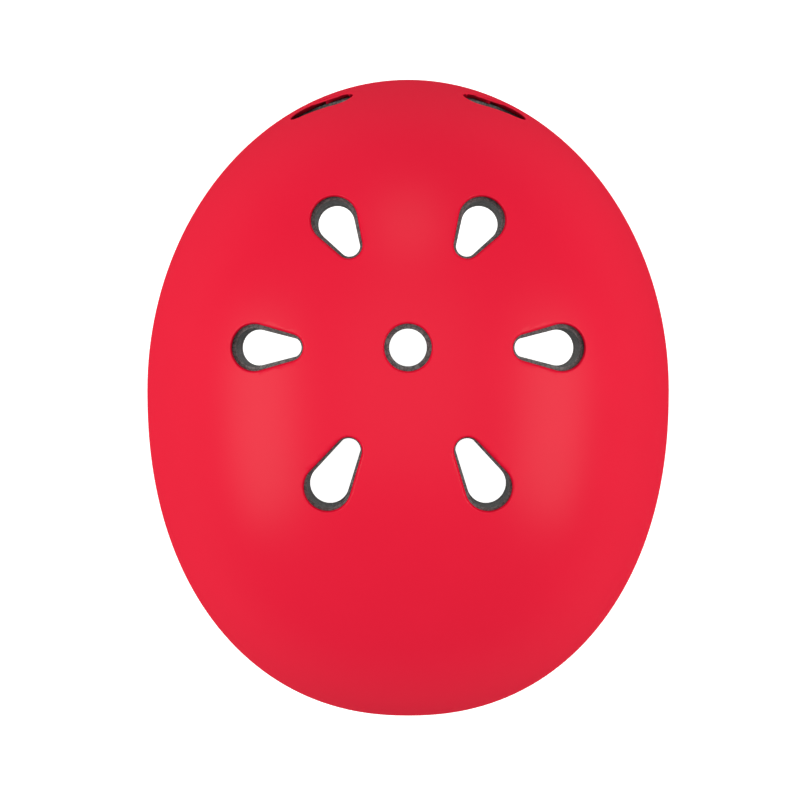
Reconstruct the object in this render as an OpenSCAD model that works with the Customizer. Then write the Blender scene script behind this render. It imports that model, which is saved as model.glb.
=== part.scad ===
// Child's hard-shell scooter helmet, in millimetres.
// +Z is up, the brow faces -Y, +X is the wearer's left.
// The origin lies in the middle of the shell's plan, at the height of its widest section.

/* [Shell] */
// Length of the shell, front to back
helmet_length = 250; // [244:1:258]
// Width of the shell across the ears
helmet_width = 205; // [200:1:211]
// Height of the crown above the widest section
crown_height = 100; // [97:1:105]
// Depth at which the shell's side curve would close below the widest section
drop_depth = 115; // [110:1:128]
// How far the widest section lies ahead of the middle of the length
widest_ahead = 3; // [1:0.5:5]
// Wall of the moulded shell
shell_wall = 2; // [1.5:0.1:2.4]
// Gap between the shell and the foam liner
liner_gap = 0.25; // [0.2:0.05:0.4]

/* [Rim] */
// Depth of the rim at the brow, below the widest section
rim_brow = 10; // [9:0.5:12]
// Depth of the rim at the temples
rim_temple = 16; // [14:0.5:18]
// Depth of the rim over the ears
rim_ear = 8; // [6:0.5:10]
// Depth of the rim at the nape
rim_nape = 40; // [36:0.5:42]
// Height of the rubber trim under the rim
trim_height = 2.8; // [2:0.1:3.4]
// Width of the rubber trim
trim_width = 6.4; // [5:0.1:7]

/* [Foam liner] */
// Foam thickness at the sides
foam_side = 21; // [19:0.5:22]
// Foam thickness at the brow
foam_front = 23; // [21:0.5:24]
// Foam thickness at the nape
foam_rear = 25; // [24:0.5:27]
// Foam thickness at the crown
foam_top = 23; // [21:0.5:25]

/* [Vents] */
// How far the crown vent lies ahead of the middle of the helmet
vents_ahead = 20; // [15:0.5:22]
// Radius of the crown vent in the shell
crown_vent_r = 8.45; // [7.5:0.05:9.5]
// Radius of the crown bore in the foam
crown_bore_r = 6.8; // [5.5:0.1:7.2]
// Distance from the crown vent to the narrow end of a petal
petal_tip_at = 42.4; // [38:0.1:44]
// Distance from the crown vent to the wide end of a side petal
petal_side_at = 55.6; // [53:0.1:58]
// Distance from the crown vent to the wide end of a front petal
petal_front_at = 53.5; // [52:0.1:56]
// Distance from the crown vent to the wide end of a rear petal
petal_rear_at = 57.8; // [55:0.1:60]
// Radius of a petal's narrow end
petal_tip_r = 4.85; // [4.2:0.05:5.5]
// Radius of a petal's wide end
petal_r = 8.5; // [7.5:0.1:9.5]
// How much smaller a vent is in the foam than in the shell
foam_step = 1.4; // [1:0.1:2]
// Distance of a brow vent's middle from the centre plane
brow_vent_at = 33; // [30:0.5:36]
// Height of the brow vents' middle line above the widest section
brow_vent_up = 28; // [26:0.5:32]
// Width of a brow vent
brow_vent_w = 24.5; // [22:0.5:28]
// Height of a brow vent
brow_vent_h = 11; // [9:0.5:13]
// How far a brow vent slopes down towards its outer end, in degrees
brow_vent_slope = 17; // [10:1:20]
// Distance of a nape vent's middle from the centre plane
nape_vent_at = 30; // [27:0.5:33]
// Height of the nape vents' middle line above the widest section
nape_vent_up = 6; // [2:0.5:10]
// Width of a nape vent
nape_vent_w = 28; // [22:0.5:30]
// Height of a nape vent
nape_vent_h = 11; // [9:0.5:13]

/* [Head ring and cradle] */
// Height of the head ring's band
ring_height = 14; // [12.5:0.5:15]
// Wall of the head ring and of the cradle's arms
ring_wall = 1.8; // [1.4:0.1:2.2]
// Height of the head ring's lower edge above the brow rim
ring_above_rim = 2; // [1.5:0.1:3]
// How far the temple pins lie ahead of the middle of the helmet
pivot_ahead = 20; // [17:0.5:24]
// Radius of the eyes round the temple pins
eye_r = 6; // [5:0.5:6.5]
// Radius of the temple and brow pins
pin_r = 2.2; // [1.8:0.1:2.6]
// Height of the cradle's side arms
arm_height = 10; // [8:0.5:11]
// How far the dial lies behind the middle of the helmet
dial_behind = 88; // [85:0.5:89]
// Depth of the dial's middle below the widest section
dial_drop = 62; // [62:0.5:68]
// Lean of the dial's face, downwards in degrees
dial_lean = 12; // [6:1:16]
// Radius of the dial knob
knob_r = 15; // [13.5:0.5:15.5]
// Thickness of the dial knob
knob_depth = 10.5; // [9:0.5:13]
// Number of grip scallops round the knob
knob_grips = 14; // [10:1:18]
// Width of the dial housing
housing_w = 46; // [43:1:48]
// Tooth size (module) of the pinion and the racks
tooth_size = 0.8; // [0.7:0.05:0.8]
// Number of teeth on the pinion
pinion_teeth = 10; // [10:2:10]

/* [Straps and buckle] */
// Width of the webbing
web_w = 15; // [13:0.5:16]
// Thickness of the webbing
web_t = 1.6; // [1.2:0.1:1.8]
// How far the front strap anchors lie ahead of the middle of the helmet
anchor_ahead = 42; // [39:0.5:45]
// How far the rear strap anchors lie behind the middle of the helmet
anchor_behind = 55; // [51:0.5:58]
// Distance of the strap dividers from the centre plane
divider_at = 71; // [69:0.5:73]
// How far the dividers and the chin strap lie behind the middle of the helmet
chin_behind = 5; // [3:0.5:7]
// Depth of the dividers below the widest section
divider_drop = 62; // [58:0.5:66]
// Depth of the buckle below the widest section
buckle_drop = 112; // [106:0.5:118]
// Length of the closed buckle
buckle_l = 44; // [42:1:50]
// Width of the buckle
buckle_w = 20; // [19:0.5:22]
// Thickness of the buckle
buckle_t = 9; // [8.6:0.2:10]

/* [Pads] */
// Thickness of the comfort pads at the middle of their crown
pad_thick = 7; // [5:0.5:8]
// Width of the crown pads
crown_pad_w = 24; // [18:1:26]
// Length of the brow pad along the brow, as an angle round the helmet
brow_pad_span = 84; // [70:1:90]
// Length of the chin pad along the strap, as a share of the strap
chin_pad_share = 0.36; // [0.28:0.01:0.4]

/* [Hidden] */

// Clearances
seat = 0.3;
running = 0.06;
overlap = 0.01;

// Dome surfaces: half width, reach to the front, reach to the rear, height, closing depth
shell_out = [
    helmet_width / 2, helmet_length / 2 - widest_ahead, helmet_length / 2 + widest_ahead,
    crown_height, drop_depth
];
shell_in = inset(shell_out, shell_wall);
foam_out = inset(shell_in, liner_gap);
foam_in = [
    foam_out[0] - foam_side, foam_out[1] - foam_front, foam_out[2] - foam_rear,
    foam_out[3] - foam_top, foam_out[4] - foam_side / 2
];
plan_power_front = 2;
plan_power_rear = 2.19;
dome_columns = 72;
dome_rows = 13;
rim_rows = 2;
above_all = crown_height + 20;
cut = 20;

// Places along the rim where its depth changes
rim_front_y = -0.38 * helmet_length;
rim_temple_y = -0.2 * helmet_length;
rim_ear_y = 0.02 * helmet_length;
rim_rear_y = 0.34 * helmet_length;

// Head ring and temple pivots
ring_low = ring_above_rim - rim_brow;
ring_mid = ring_low + ring_height / 2;
ring_gap = 0.8;
ring_out = inset(foam_in, ring_gap);
ring_in = inset(ring_out, ring_wall);
eye_out = wall_x(foam_in, -pivot_ahead - eye_r, -eye_r) - seat - 0.3;
arm_out = eye_out - ring_wall - seat;
arm_mid = arm_out - ring_wall / 2;
pin_head_t = 1.2;
pin_head_r = pin_r + 1.8;
pin_grip = 9;

// Dial, racks and housing, measured from the dial's middle
pitch_r = tooth_size * pinion_teeth / 2;
tooth_pitch = PI * tooth_size;
pressure_angle = 25;
rack_reach = 0.8 * tooth_size;
root_gap = 0.2;
rack_root = pitch_r + 1.25 * tooth_size;
rack_back = rack_root + 4;
rack_wall = 2;
rack_tip = 3.5 * pitch_r;
rack_tab = 4;
rack_pull = pitch_r * PI;
rack_end = housing_w / 2 + rack_pull + rack_tab + 0.5;
rack_first_tooth = -5;
rack_last_tooth = 6;
housing_half_h = rack_back + 0.4 + 2.6;
housing_plate = 2.3;
housing_round = 8;
channel_half = rack_wall / 2 + seat;
cover_low = channel_half + 0.05;
cover_top = cover_low + housing_plate;
shaft_r = pitch_r * 0.72;
hub_stub_r = 1.5;
knob_low = cover_top + 0.9;
knob_top = knob_low + knob_depth;
knob_wall = 2.8;
knob_cap = 3.6;
knob_screw_r = 1.05;
housing_screw_at = housing_w / 2 - 5;
housing_screw_r = 0.9;
click_ring_r = knob_r - 5;

// Straps and hardware
anchor_t = 5;
anchor_h = 8;
anchor_w = web_w + 2;
anchor_lean = 28;
divider_half = 12;
divider_plate = 2;
lever_pin_r = 1.2;
lever_pin_out = 3.2;
lever_pin_drop = 8;
buckle_split = -4;
plug_gap = 0.3;
prong_t = 3.6;
tail_drop = 2.3;
keeper_at = 0.45;
hook_dot_t = 0.8;
hook_dot_r = 4.5;
hook_dot_lift = 0.5;
hook_dot_in = 11;
pad_back = hook_dot_lift + hook_dot_t + 0.15;

// Place of the pads: the ends of the crown pads, and the side pads' angles round the dome and up it
crown_pad_front_y = [-vents_ahead - petal_front_at + 2, -vents_ahead - crown_vent_r - 14];
crown_pad_rear_y = [-vents_ahead + crown_vent_r + 13, 0.3 * helmet_length - 16];
side_pad_turn = [6, 40];
side_pad_rise = [5, 27];
pad_below_vent = 4;

// The chin strap hangs from the divider to the buckle
strap_in_buckle = buckle_l / 2 - 4;
chin_curve = [
    [divider_at, chin_behind, -divider_drop - 3],
    [divider_at - 1, chin_behind, -buckle_drop],
    [strap_in_buckle, chin_behind, -buckle_drop]
];
chin_pad_end = 0.88;

// Shape functions
function inset(size, wall) = [for (s = size) s - wall];
function unit(v) = v / norm(v);
function signed_power(v, e) = sign(v) * pow(abs(v), e);
function plan_power(front) = front ? plan_power_front : plan_power_rear;
function reach(size, front) = front ? size[1] : size[2];

// A point of a dome: turn is the angle round it and rise the angle up from its widest section
function dome_point(size, turn, rise) =
    let (front = sin(turn) < 0, e = 2 / plan_power(front))
    [
        size[0] * cos(rise) * signed_power(cos(turn), e),
        reach(size, front) * cos(rise) * signed_power(sin(turn), e) - widest_ahead,
        (rise < 0 ? size[4] : size[3]) * sin(rise)
    ];

// Half width of a dome at a place along it and a height
function wall_x(size, y, z) =
    let (
        s = sqrt(1 - pow(z / (z < 0 ? size[4] : size[3]), 2)),
        front = y < -widest_ahead,
        n = plan_power(front)
    )
    size[0] * s * pow(1 - pow(abs(y + widest_ahead) / (reach(size, front) * s), n), 1 / n);

// Height of a dome over a place in its plan
function dome_z(size, x, y) =
    let (front = y < -widest_ahead, n = plan_power(front))
    size[3] * sqrt(1 - pow(pow(abs(x) / size[0], n) + pow(abs(y + widest_ahead) / reach(size, front), n), 2 / n));

// Direction from a dome's wall towards its hollow
function inward(size, p) =
    -unit([
        p[0] / pow(size[0], 2),
        (p[1] + widest_ahead) / pow(reach(size, p[1] < -widest_ahead), 2),
        p[2] / pow(p[2] < 0 ? size[4] : size[3], 2)
    ]);

// Height of the rim, eased between its four depths
function ease(a, b, y) = let (u = min(1, max(0, (y - a) / (b - a)))) u * u * (3 - 2 * u);
function rim_z(y) =
    -rim_brow
    + (rim_brow - rim_temple) * ease(rim_front_y, rim_temple_y, y)
    + (rim_temple - rim_ear) * ease(rim_temple_y, rim_ear_y, y)
    + (rim_ear - rim_nape) * ease(rim_ear_y, rim_rear_y, y);
function rim_rise(size, turn, rise = 0, rounds = 5) =
    rounds == 0
        ? rise
        : rim_rise(size, turn, asin(rim_z(dome_point(size, turn, rise)[1]) / size[4]), rounds - 1);
function rim_point(size, turn) = dome_point(size, turn, rim_rise(size, turn));

// Middle of the foam's thickness at the rim
function rim_mid_x(y) = (wall_x(foam_out, y, rim_z(y)) + wall_x(foam_in, y, rim_z(y))) / 2;

// Curve of a strap: a start, a guide point and an end
function curve_point(c, u) = (1 - u) * (1 - u) * c[0] + 2 * u * (1 - u) * c[1] + u * u * c[2];
function curve_heading(c, u) = unit((1 - u) * (c[1] - c[0]) + u * (c[2] - c[1]));

// Faces of a closed band between rings of points, each ring with the same number of points
function band_faces(rings, sides, closed) =
    [
        for (i = [0:rings - (closed ? 1 : 2)])
            for (j = [0:sides - 1])
                let (
                    a = i * sides + j,
                    b = i * sides + (j + 1) % sides,
                    c = (i + 1) % rings * sides + j,
                    d = (i + 1) % rings * sides + (j + 1) % sides
                )
                each [[a, b, c], [b, d, c]]
    ];

// A closed tube through rings of points, with flat ends unless it runs back into itself
module tube(rings, closed = false) {
    sides = len(rings[0]);
    last = (len(rings) - 1) * sides;
    strip = [
        for (j = [0:sides / 2 - 2])
            let (k = sides - 1 - j)
            each [[j, k, j + 1], [j + 1, k, k - 1]]
    ];
    ends = closed ? [] : concat(strip, [for (f = strip) [last + f[2], last + f[1], last + f[0]]]);
    polyhedron([for (ring = rings) each ring], concat(band_faces(len(rings), sides, closed), ends), convexity = 6);
}

// The wall between two domes, open below along the rim line
module dome_wall(big, small) {
    function row_rise(low, i) =
        i < rim_rows ? low * (1 - i / rim_rows) : 90 * (i - rim_rows) / (dome_rows - rim_rows);
    function skin(size) = [
        for (i = [0:dome_rows - 1])
            for (j = [0:dome_columns - 1])
                let (turn = 360 * j / dome_columns)
                dome_point(size, turn, row_rise(rim_rise(size, turn), i))
    ];
    skin_count = dome_columns * dome_rows;
    inner_first = skin_count + 1;
    outer_faces = concat(
        band_faces(dome_rows, dome_columns, false),
        [
            for (j = [0:dome_columns - 1])
                [skin_count - dome_columns + j, skin_count - dome_columns + (j + 1) % dome_columns, skin_count]
        ]
    );
    inner_faces = [for (f = outer_faces) [f[2] + inner_first, f[1] + inner_first, f[0] + inner_first]];
    rim_faces = [
        for (j = [0:dome_columns - 1])
            let (k = (j + 1) % dome_columns)
            each [[j, inner_first + j, k], [k, inner_first + j, inner_first + k]]
    ];
    points = concat(skin(big), [dome_point(big, 0, 90)], skin(small), [dome_point(small, 0, 90)]);
    faces = [for (f = concat(outer_faces, inner_faces, rim_faces)) [f[2], f[1], f[0]]];
    polyhedron(points, faces, convexity = 4);
}

// A crowned cushion on a seat, with its sides drawn in between the corners
// at(u, v) gives the seat and into(p) the way it swells; channels are the places of sewn grooves along u
module cushion(at, into, thick, channels = [], steps_u = 16, steps_v = 6, edge = 0.4) {
    draw_in = 0.1;
    groove_half = 0.03;
    groove_depth = 0.5;
    function pulled(u, v) = [
        0.5 + (u - 0.5) * (1 - draw_in * 4 * v * (1 - v) / 2),
        0.5 + (v - 0.5) * (1 - draw_in * 4 * u * (1 - u))
    ];
    function groove(u) =
        1 - groove_depth * max([0, for (c = channels) exp(-pow((u - c) / groove_half, 2))]);
    function crown(u, v) =
        edge + (1 - edge) * sqrt((1 - pow(abs(2 * u - 1), 6)) * (1 - pow(abs(2 * v - 1), 3))) * groove(u);
    stations = [for (i = [0:steps_u]) i / steps_u];
    rings = [
        for (u = stations) concat(
            [for (j = [0:steps_v]) let (q = pulled(u, j / steps_v)) at(q[0], q[1])],
            [
                for (j = [steps_v:-1:0])
                    let (v = j / steps_v, q = pulled(u, v), p = at(q[0], q[1]))
                    p + thick * crown(u, v) * into(p)
            ]
        )
    ];
    tube(rings);
}

// Flat webbing along a strap's curve; across is its width direction, or empty to lie flat against the cheek
module webbing(curve, from = 0, to = 1, across = [], width = web_w, thick = web_t, drop = 0, steps = 12) {
    rings = [
        for (i = [0:steps])
            let (
                u = from + (to - from) * i / steps,
                way = curve_heading(curve, u),
                side = across == [] ? unit(cross([1, 0, 0], way)) : across,
                face = unit(cross(side, way)),
                p = curve_point(curve, u) - drop * face
            )
            [
                p - side * width / 2 - face * thick / 2,
                p + side * width / 2 - face * thick / 2,
                p + side * width / 2 + face * thick / 2,
                p - side * width / 2 + face * thick / 2
            ]
    ];
    tube(rings);
}

module mirrored(side) {
    if (side < 0) mirror([1, 0, 0]) children();
    else children();
}

// A rectangle with round corners, centred
module round_plate(w, h, r) {
    square([w - 2 * r, h], center = true);
    square([w, h - 2 * r], center = true);
    for (x = [-1, 1], y = [-1, 1])
        translate([x * (w / 2 - r), y * (h / 2 - r)]) circle(r, $fn = 32);
}

// Vent outlines
module petal(tip_at, wide_at, tip_r, wide_r) {
    c = (wide_r - tip_r) / (wide_at - tip_at);
    s = sqrt(1 - c * c);
    translate([tip_at, 0]) circle(tip_r, $fn = 32);
    translate([wide_at, 0]) circle(wide_r, $fn = 48);
    polygon([
        [tip_at - tip_r * c, tip_r * s],
        [tip_at - tip_r * c, -tip_r * s],
        [wide_at - wide_r * c, -wide_r * s],
        [wide_at - wide_r * c, wide_r * s]
    ]);
}

module slot(w, h) {
    square([w - h, h], center = true);
    for (x = [-1, 1]) translate([x * (w - h) / 2, 0]) circle(h / 2, $fn = 32);
}

// Every vent as a cutting shape: six petals round the crown bore, two slots in the brow, two at the nape
module vent_cuts(crown_r, step) {
    petals_low = 20;
    translate([0, -vents_ahead, petals_low]) {
        cylinder(h = above_all - petals_low, r = crown_r, $fn = 64);
        for (k = [0:5])
            rotate([0, 0, 60 * k]) linear_extrude(above_all - petals_low) petal(
                petal_tip_at,
                k % 3 == 0 ? petal_side_at : (k < 3 ? petal_rear_at : petal_front_at),
                petal_tip_r - step,
                petal_r - step
            );
    }
    for (side = [-1, 1]) {
        translate([side * brow_vent_at, 0, brow_vent_up])
            rotate([90, side * brow_vent_slope, 0])
                linear_extrude(helmet_length) slot(brow_vent_w - 2 * step, brow_vent_h - step);
        translate([side * nape_vent_at, helmet_length, nape_vent_up])
            rotate([90, 0, 0]) linear_extrude(helmet_length) slot(nape_vent_w - 2 * step, nape_vent_h - step);
    }
}

module outer_shell() {
    color([0.86, 0.1, 0.17]) difference() {
        dome_wall(shell_out, shell_in);
        vent_cuts(crown_vent_r, 0);
    }
}

module eps_liner() {
    color([0.3, 0.3, 0.31]) difference() {
        dome_wall(foam_out, foam_in);
        vent_cuts(crown_bore_r, foam_step);
        for (side = [-1, 1]) {
            translate([side * (eye_out - ring_wall), -pivot_ahead, ring_mid])
                rotate([0, side * 90, 0]) cylinder(h = ring_wall + pin_grip + seat, r = pin_r + 0.2, $fn = 32);
            anchor_place(side, -1) anchor_block(seat, anchor_h);
            anchor_place(side, 1) anchor_block(seat, anchor_h);
        }
        translate([0, -widest_ahead - ring_in[1], ring_mid])
            rotate([90, 0, 0]) cylinder(h = ring_wall + pin_grip + seat, r = pin_r + 0.2, $fn = 32);
    }
}

module edge_trim() {
    under = 0.55;
    corner = 1.2;
    profile = [
        [0.2, 0], [0.2, corner - trim_height], [0.2 + corner, -trim_height],
        [trim_width - corner, -trim_height], [trim_width, corner - trim_height], [trim_width, 0]
    ];
    rings = [
        for (j = [0:dome_columns - 1])
            [
                for (q = profile)
                    let (p = rim_point(inset(shell_out, q[0]), 360 * j / dome_columns))
                    p + [0, 0, q[1] - under]
            ]
    ];
    color([0.12, 0.12, 0.13]) tube(rings, closed = true);
}

// Plan outline of the head ring's front, from one temple round the brow to the other
function ring_outline(size, from, to, steps) =
    [for (i = [0:steps]) let (p = dome_point(size, from + (to - from) * i / steps, 0)) [p[0], p[1]]];

module head_ring() {
    temple_turn = asin(pow((pivot_ahead - widest_ahead) / ring_out[1], plan_power_front / 2));
    eye_room = 0.6;
    steps = 40;
    color([0.16, 0.16, 0.17]) difference() {
        union() {
            translate([0, 0, ring_low]) linear_extrude(ring_height) polygon(concat(
                ring_outline(ring_out, 180 + temple_turn, 360 - temple_turn, steps),
                ring_outline(ring_in, 360 - temple_turn, 180 + temple_turn, steps)
            ));
            for (side = [-1, 1])
                translate([side * eye_out, -pivot_ahead, ring_mid])
                    rotate([0, -side * 90, 0]) cylinder(h = ring_wall, r = eye_r, $fn = 48);
        }
        for (side = [-1, 1])
            translate([side * eye_out, -pivot_ahead, ring_mid]) rotate([0, -side * 90, 0]) {
                translate([0, 0, -cut / 2]) cylinder(h = cut, r = pin_r + running, $fn = 32);
                translate([0, 0, ring_wall]) cylinder(h = cut, r = eye_r + eye_room, $fn = 48);
                translate([0, 0, -cut]) cylinder(h = cut, r = eye_r + eye_room, $fn = 48);
            }
        translate([0, -widest_ahead - ring_in[1], ring_mid]) rotate([90, 0, 0]) {
            translate([0, 0, -cut / 2]) cylinder(h = cut, r = pin_r + running, $fn = 32);
            translate([0, 0, 1 - cut]) cylinder(h = cut, r = pin_head_r + 0.2, $fn = 32);
        }
    }
}

module brow_pin() {
    color([0.2, 0.2, 0.21]) translate([0, -widest_ahead - ring_in[1] - 0.2, ring_mid]) rotate([90, 0, 0]) {
        cylinder(h = 0.7, r = pin_head_r, $fn = 32);
        cylinder(h = pin_grip, r = pin_r, $fn = 32);
    }
}

module temple_pins() {
    color([0.2, 0.2, 0.21]) for (side = [-1, 1])
        translate([side * (arm_out - ring_wall - pin_head_t - 0.1), -pivot_ahead, ring_mid])
            rotate([0, side * 90, 0]) {
                cylinder(h = pin_head_t, r = pin_head_r, $fn = 32);
                cylinder(h = pin_head_t + 0.1 + 2 * ring_wall + seat + pin_grip, r = pin_r, $fn = 32);
            }
}

module brow_pad() {
    pad_low = ring_low + 0.5;
    pad_high = brow_vent_up - brow_vent_h / 2 - pad_below_vent;
    on_ring = inset(ring_in, seat);
    color([0.13, 0.13, 0.14]) cushion(
        function (u, v)
            let (z = pad_low + (pad_high - pad_low) * v)
            dome_point(on_ring, 270 + brow_pad_span * (u - 0.5), asin(z / on_ring[z < 0 ? 4 : 3])),
        function (p) inward(on_ring, p),
        pad_thick,
        [0.2, 0.4, 0.6, 0.8],
        30
    );
}

// A pad on the foam over the crown, between two places along the middle
module crown_pad(ends, channels) {
    color([0.13, 0.13, 0.14]) cushion(
        function (u, v)
            let (
                x = crown_pad_w * (v - 0.5),
                y = ends[0] + (ends[1] - ends[0]) * u,
                p = [x, y, dome_z(foam_in, x, y)]
            )
            p + pad_back * inward(foam_in, p),
        function (p) inward(foam_in, p),
        pad_thick,
        channels,
        16
    );
}

module crown_pad_front() {
    crown_pad(crown_pad_front_y, [0.5]);
}

module crown_pad_rear() {
    crown_pad(crown_pad_rear_y, [0.33, 0.67]);
}

module side_pad(side) {
    color([0.13, 0.13, 0.14]) mirrored(side) cushion(
        function (u, v)
            let (
                p = dome_point(
                    foam_in,
                    side_pad_turn[0] + (side_pad_turn[1] - side_pad_turn[0]) * u,
                    side_pad_rise[0] + (side_pad_rise[1] - side_pad_rise[0]) * (1 - v)
                )
            )
            p + pad_back * inward(foam_in, p),
        function (p) inward(foam_in, p),
        pad_thick,
        [0.5],
        14
    );
}

module side_pad_left() {
    side_pad(1);
}

module side_pad_right() {
    side_pad(-1);
}

// A hook dot between the foam and a pad
module hook_dot(p) {
    n = inward(foam_in, p);
    translate(p + hook_dot_lift * n)
        rotate([0, acos(n[2]), atan2(n[1], n[0])]) cylinder(h = hook_dot_t, r = hook_dot_r, $fn = 32);
}

module hook_dots() {
    turns = [side_pad_turn[0] + 9, side_pad_turn[1] - 9];
    rise = (side_pad_rise[0] + side_pad_rise[1]) / 2;
    crown_ys = [
        (crown_pad_front_y[0] + crown_pad_front_y[1]) / 2,
        crown_pad_rear_y[0] + hook_dot_in,
        crown_pad_rear_y[1] - hook_dot_in
    ];
    color([0.08, 0.08, 0.09]) {
        for (side = [-1, 1], turn = turns) mirrored(side) hook_dot(dome_point(foam_in, turn, rise));
        for (y = crown_ys) hook_dot([0, y, dome_z(foam_in, 0, y)]);
    }
}

// Side arm of the cradle, from the eye on the temple pin round to the end of its rack
function arm_point(bend) = [
    rack_end + seat + (arm_mid - rack_end - seat) * cos(bend),
    (dial_behind + pivot_ahead) * sin(bend) - pivot_ahead,
    ring_mid - (dial_drop + ring_mid) * sin(bend)
];

module side_arm(side) {
    first_bend = 2;
    steps = 16;
    rings = [
        for (i = [0:steps])
            let (
                bend = first_bend + (90 - first_bend) * i / steps,
                heading = atan2(
                    (dial_behind + pivot_ahead) * cos(bend),
                    -(arm_mid - rack_end - seat) * sin(bend)
                ) - 90,
                out = [cos(heading), sin(heading), 0],
                lean = dial_lean * sin(bend),
                up = cos(lean) * [0, 0, 1] + sin(lean) * out,
                flat = cos(lean) * out - sin(lean) * [0, 0, 1],
                p = arm_point(bend)
            )
            [
                p - up * arm_height / 2 - flat * ring_wall / 2,
                p - up * arm_height / 2 + flat * ring_wall / 2,
                p + up * arm_height / 2 + flat * ring_wall / 2,
                p + up * arm_height / 2 - flat * ring_wall / 2
            ]
    ];
    color([0.16, 0.16, 0.17]) mirrored(side) difference() {
        union() {
            tube(rings);
            translate([arm_out - ring_wall, -pivot_ahead, ring_mid])
                rotate([0, 90, 0]) cylinder(h = ring_wall, r = eye_r, $fn = 48);
        }
        translate([arm_out - 5, -pivot_ahead, ring_mid])
            rotate([0, 90, 0]) cylinder(h = 10, r = pin_r + running, $fn = 32);
    }
}

module side_arm_left() {
    side_arm(1);
}

module side_arm_right() {
    side_arm(-1);
}

// The dial's own frame: its middle, with +Y out along the dial's axis
module at_dial() {
    translate([0, dial_behind, -dial_drop]) rotate([-dial_lean, 0, 0]) children();
}

// A flat outline drawn across the dial's axis, thickened between two places along it
module dial_slab(from, to) {
    translate([0, to, 0]) rotate([90, 0, 0]) linear_extrude(to - from) children();
}

// A round along the dial's axis
module dial_round(from, to, r) {
    translate([0, to, 0]) rotate([90, 0, 0]) cylinder(h = to - from, r = r, $fn = 64);
}

// Outline of a rack: its strip above the pinion, its teeth and the tab that carries the arm
module rack_outline() {
    slope = tan(pressure_angle);
    play = 0.06;
    tip_y = pitch_r - rack_reach;
    tip_half = tooth_pitch / 4 - rack_reach * slope - play;
    root_half = tooth_pitch / 4 + (rack_root - pitch_r) * slope - play;
    translate([-rack_tip, rack_root]) square([rack_tip + rack_end, rack_back - rack_root]);
    translate([rack_end - rack_tab, seat + 0.1 - tip_y]) square([rack_tab, rack_back + tip_y - seat - 0.1]);
    for (k = [rack_first_tooth:rack_last_tooth])
        translate([k * tooth_pitch, 0]) polygon([
            [-tip_half, tip_y], [tip_half, tip_y],
            [root_half, rack_root + overlap], [-root_half, rack_root + overlap]
        ]);
}

module rack_left() {
    color([0.2, 0.2, 0.21]) at_dial() dial_slab(-rack_wall / 2, rack_wall / 2) rack_outline();
}

module rack_right() {
    color([0.2, 0.2, 0.21]) at_dial() dial_slab(-rack_wall / 2, rack_wall / 2)
        rotate(180) rack_outline();
}

// Outline of the housing: a round-ended plate with a round seat for the knob
module housing_outline() {
    round_plate(housing_w, 2 * housing_half_h, housing_round);
    circle(knob_r + 1, $fn = 64);
}

module dial_housing_inner() {
    color([0.14, 0.14, 0.15]) at_dial() {
        difference() {
            union() {
                dial_slab(-channel_half - housing_plate, -channel_half) housing_outline();
                dial_slab(-channel_half - overlap, channel_half) intersection() {
                    round_plate(housing_w, 2 * housing_half_h, housing_round);
                    for (side = [-1, 1])
                        translate([0, side * (housing_half_h - 1.3)]) square([housing_w, 2.6], center = true);
                }
                for (side = [-1, 1])
                    translate([side * housing_screw_at, 0, 0])
                        dial_round(-channel_half - overlap, channel_half, 2.3);
                dial_round(-channel_half - overlap, 0.4, hub_stub_r);
            }
            for (side = [-1, 1])
                translate([side * housing_screw_at, 0, 0])
                    dial_round(-channel_half - 1, channel_half + 1, housing_screw_r + 0.05);
        }
    }
}

module dial_housing_outer() {
    color([0.14, 0.14, 0.15]) at_dial() difference() {
        dial_slab(cover_low, cover_top) housing_outline();
        dial_round(cover_low - 1, cover_top + 1, shaft_r + running);
        for (side = [-1, 1])
            translate([side * housing_screw_at, 0, 0])
                dial_round(cover_low - 1, cover_top + 1, housing_screw_r + 0.3);
    }
}

module housing_screws() {
    color([0.6, 0.6, 0.62]) at_dial() for (side = [-1, 1])
        translate([side * housing_screw_at, 0, 0]) difference() {
            union() {
                dial_round(1 - channel_half, cover_top + 0.1, housing_screw_r);
                dial_round(cover_top + 0.05, cover_top + 1.25, 2.2);
            }
            dial_slab(cover_top + 0.6, cover_top + 2) {
                square([2.6, 0.6], center = true);
                square([0.6, 2.6], center = true);
            }
        }
}

// Involute outline of the pinion
module pinion_outline() {
    base_r = pitch_r * cos(pressure_angle);
    tip_r = pitch_r + tooth_size;
    root_r = pitch_r - rack_reach - root_gap;
    play = 1.2;
    function unwound(a) = tan(a) * 180 / PI - a;
    function flank(r) =
        90 / pinion_teeth - play + unwound(pressure_angle) - unwound(acos(min(1, base_r / r)));
    radii = [root_r, base_r, for (i = [1:5]) base_r + (tip_r - base_r) * i / 5];
    polygon([
        for (k = [0:pinion_teeth - 1])
            let (middle = 360 * k / pinion_teeth)
            each concat(
                [for (r = radii) r * [cos(middle - flank(r)), sin(middle - flank(r))]],
                [for (i = [len(radii) - 1:-1:0]) let (r = radii[i]) r * [cos(middle + flank(r)), sin(middle + flank(r))]]
            )
    ]);
}

module pinion() {
    color([0.85, 0.85, 0.84]) at_dial() difference() {
        union() {
            dial_slab(-rack_wall / 2 - 0.1, rack_wall / 2 + 0.1) pinion_outline();
            dial_round(0, knob_top - knob_cap - 1.2, shaft_r);
        }
        dial_round(-5, 0.7, hub_stub_r + running);
        dial_round(cover_top, knob_top, knob_screw_r + 0.05);
    }
}

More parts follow.
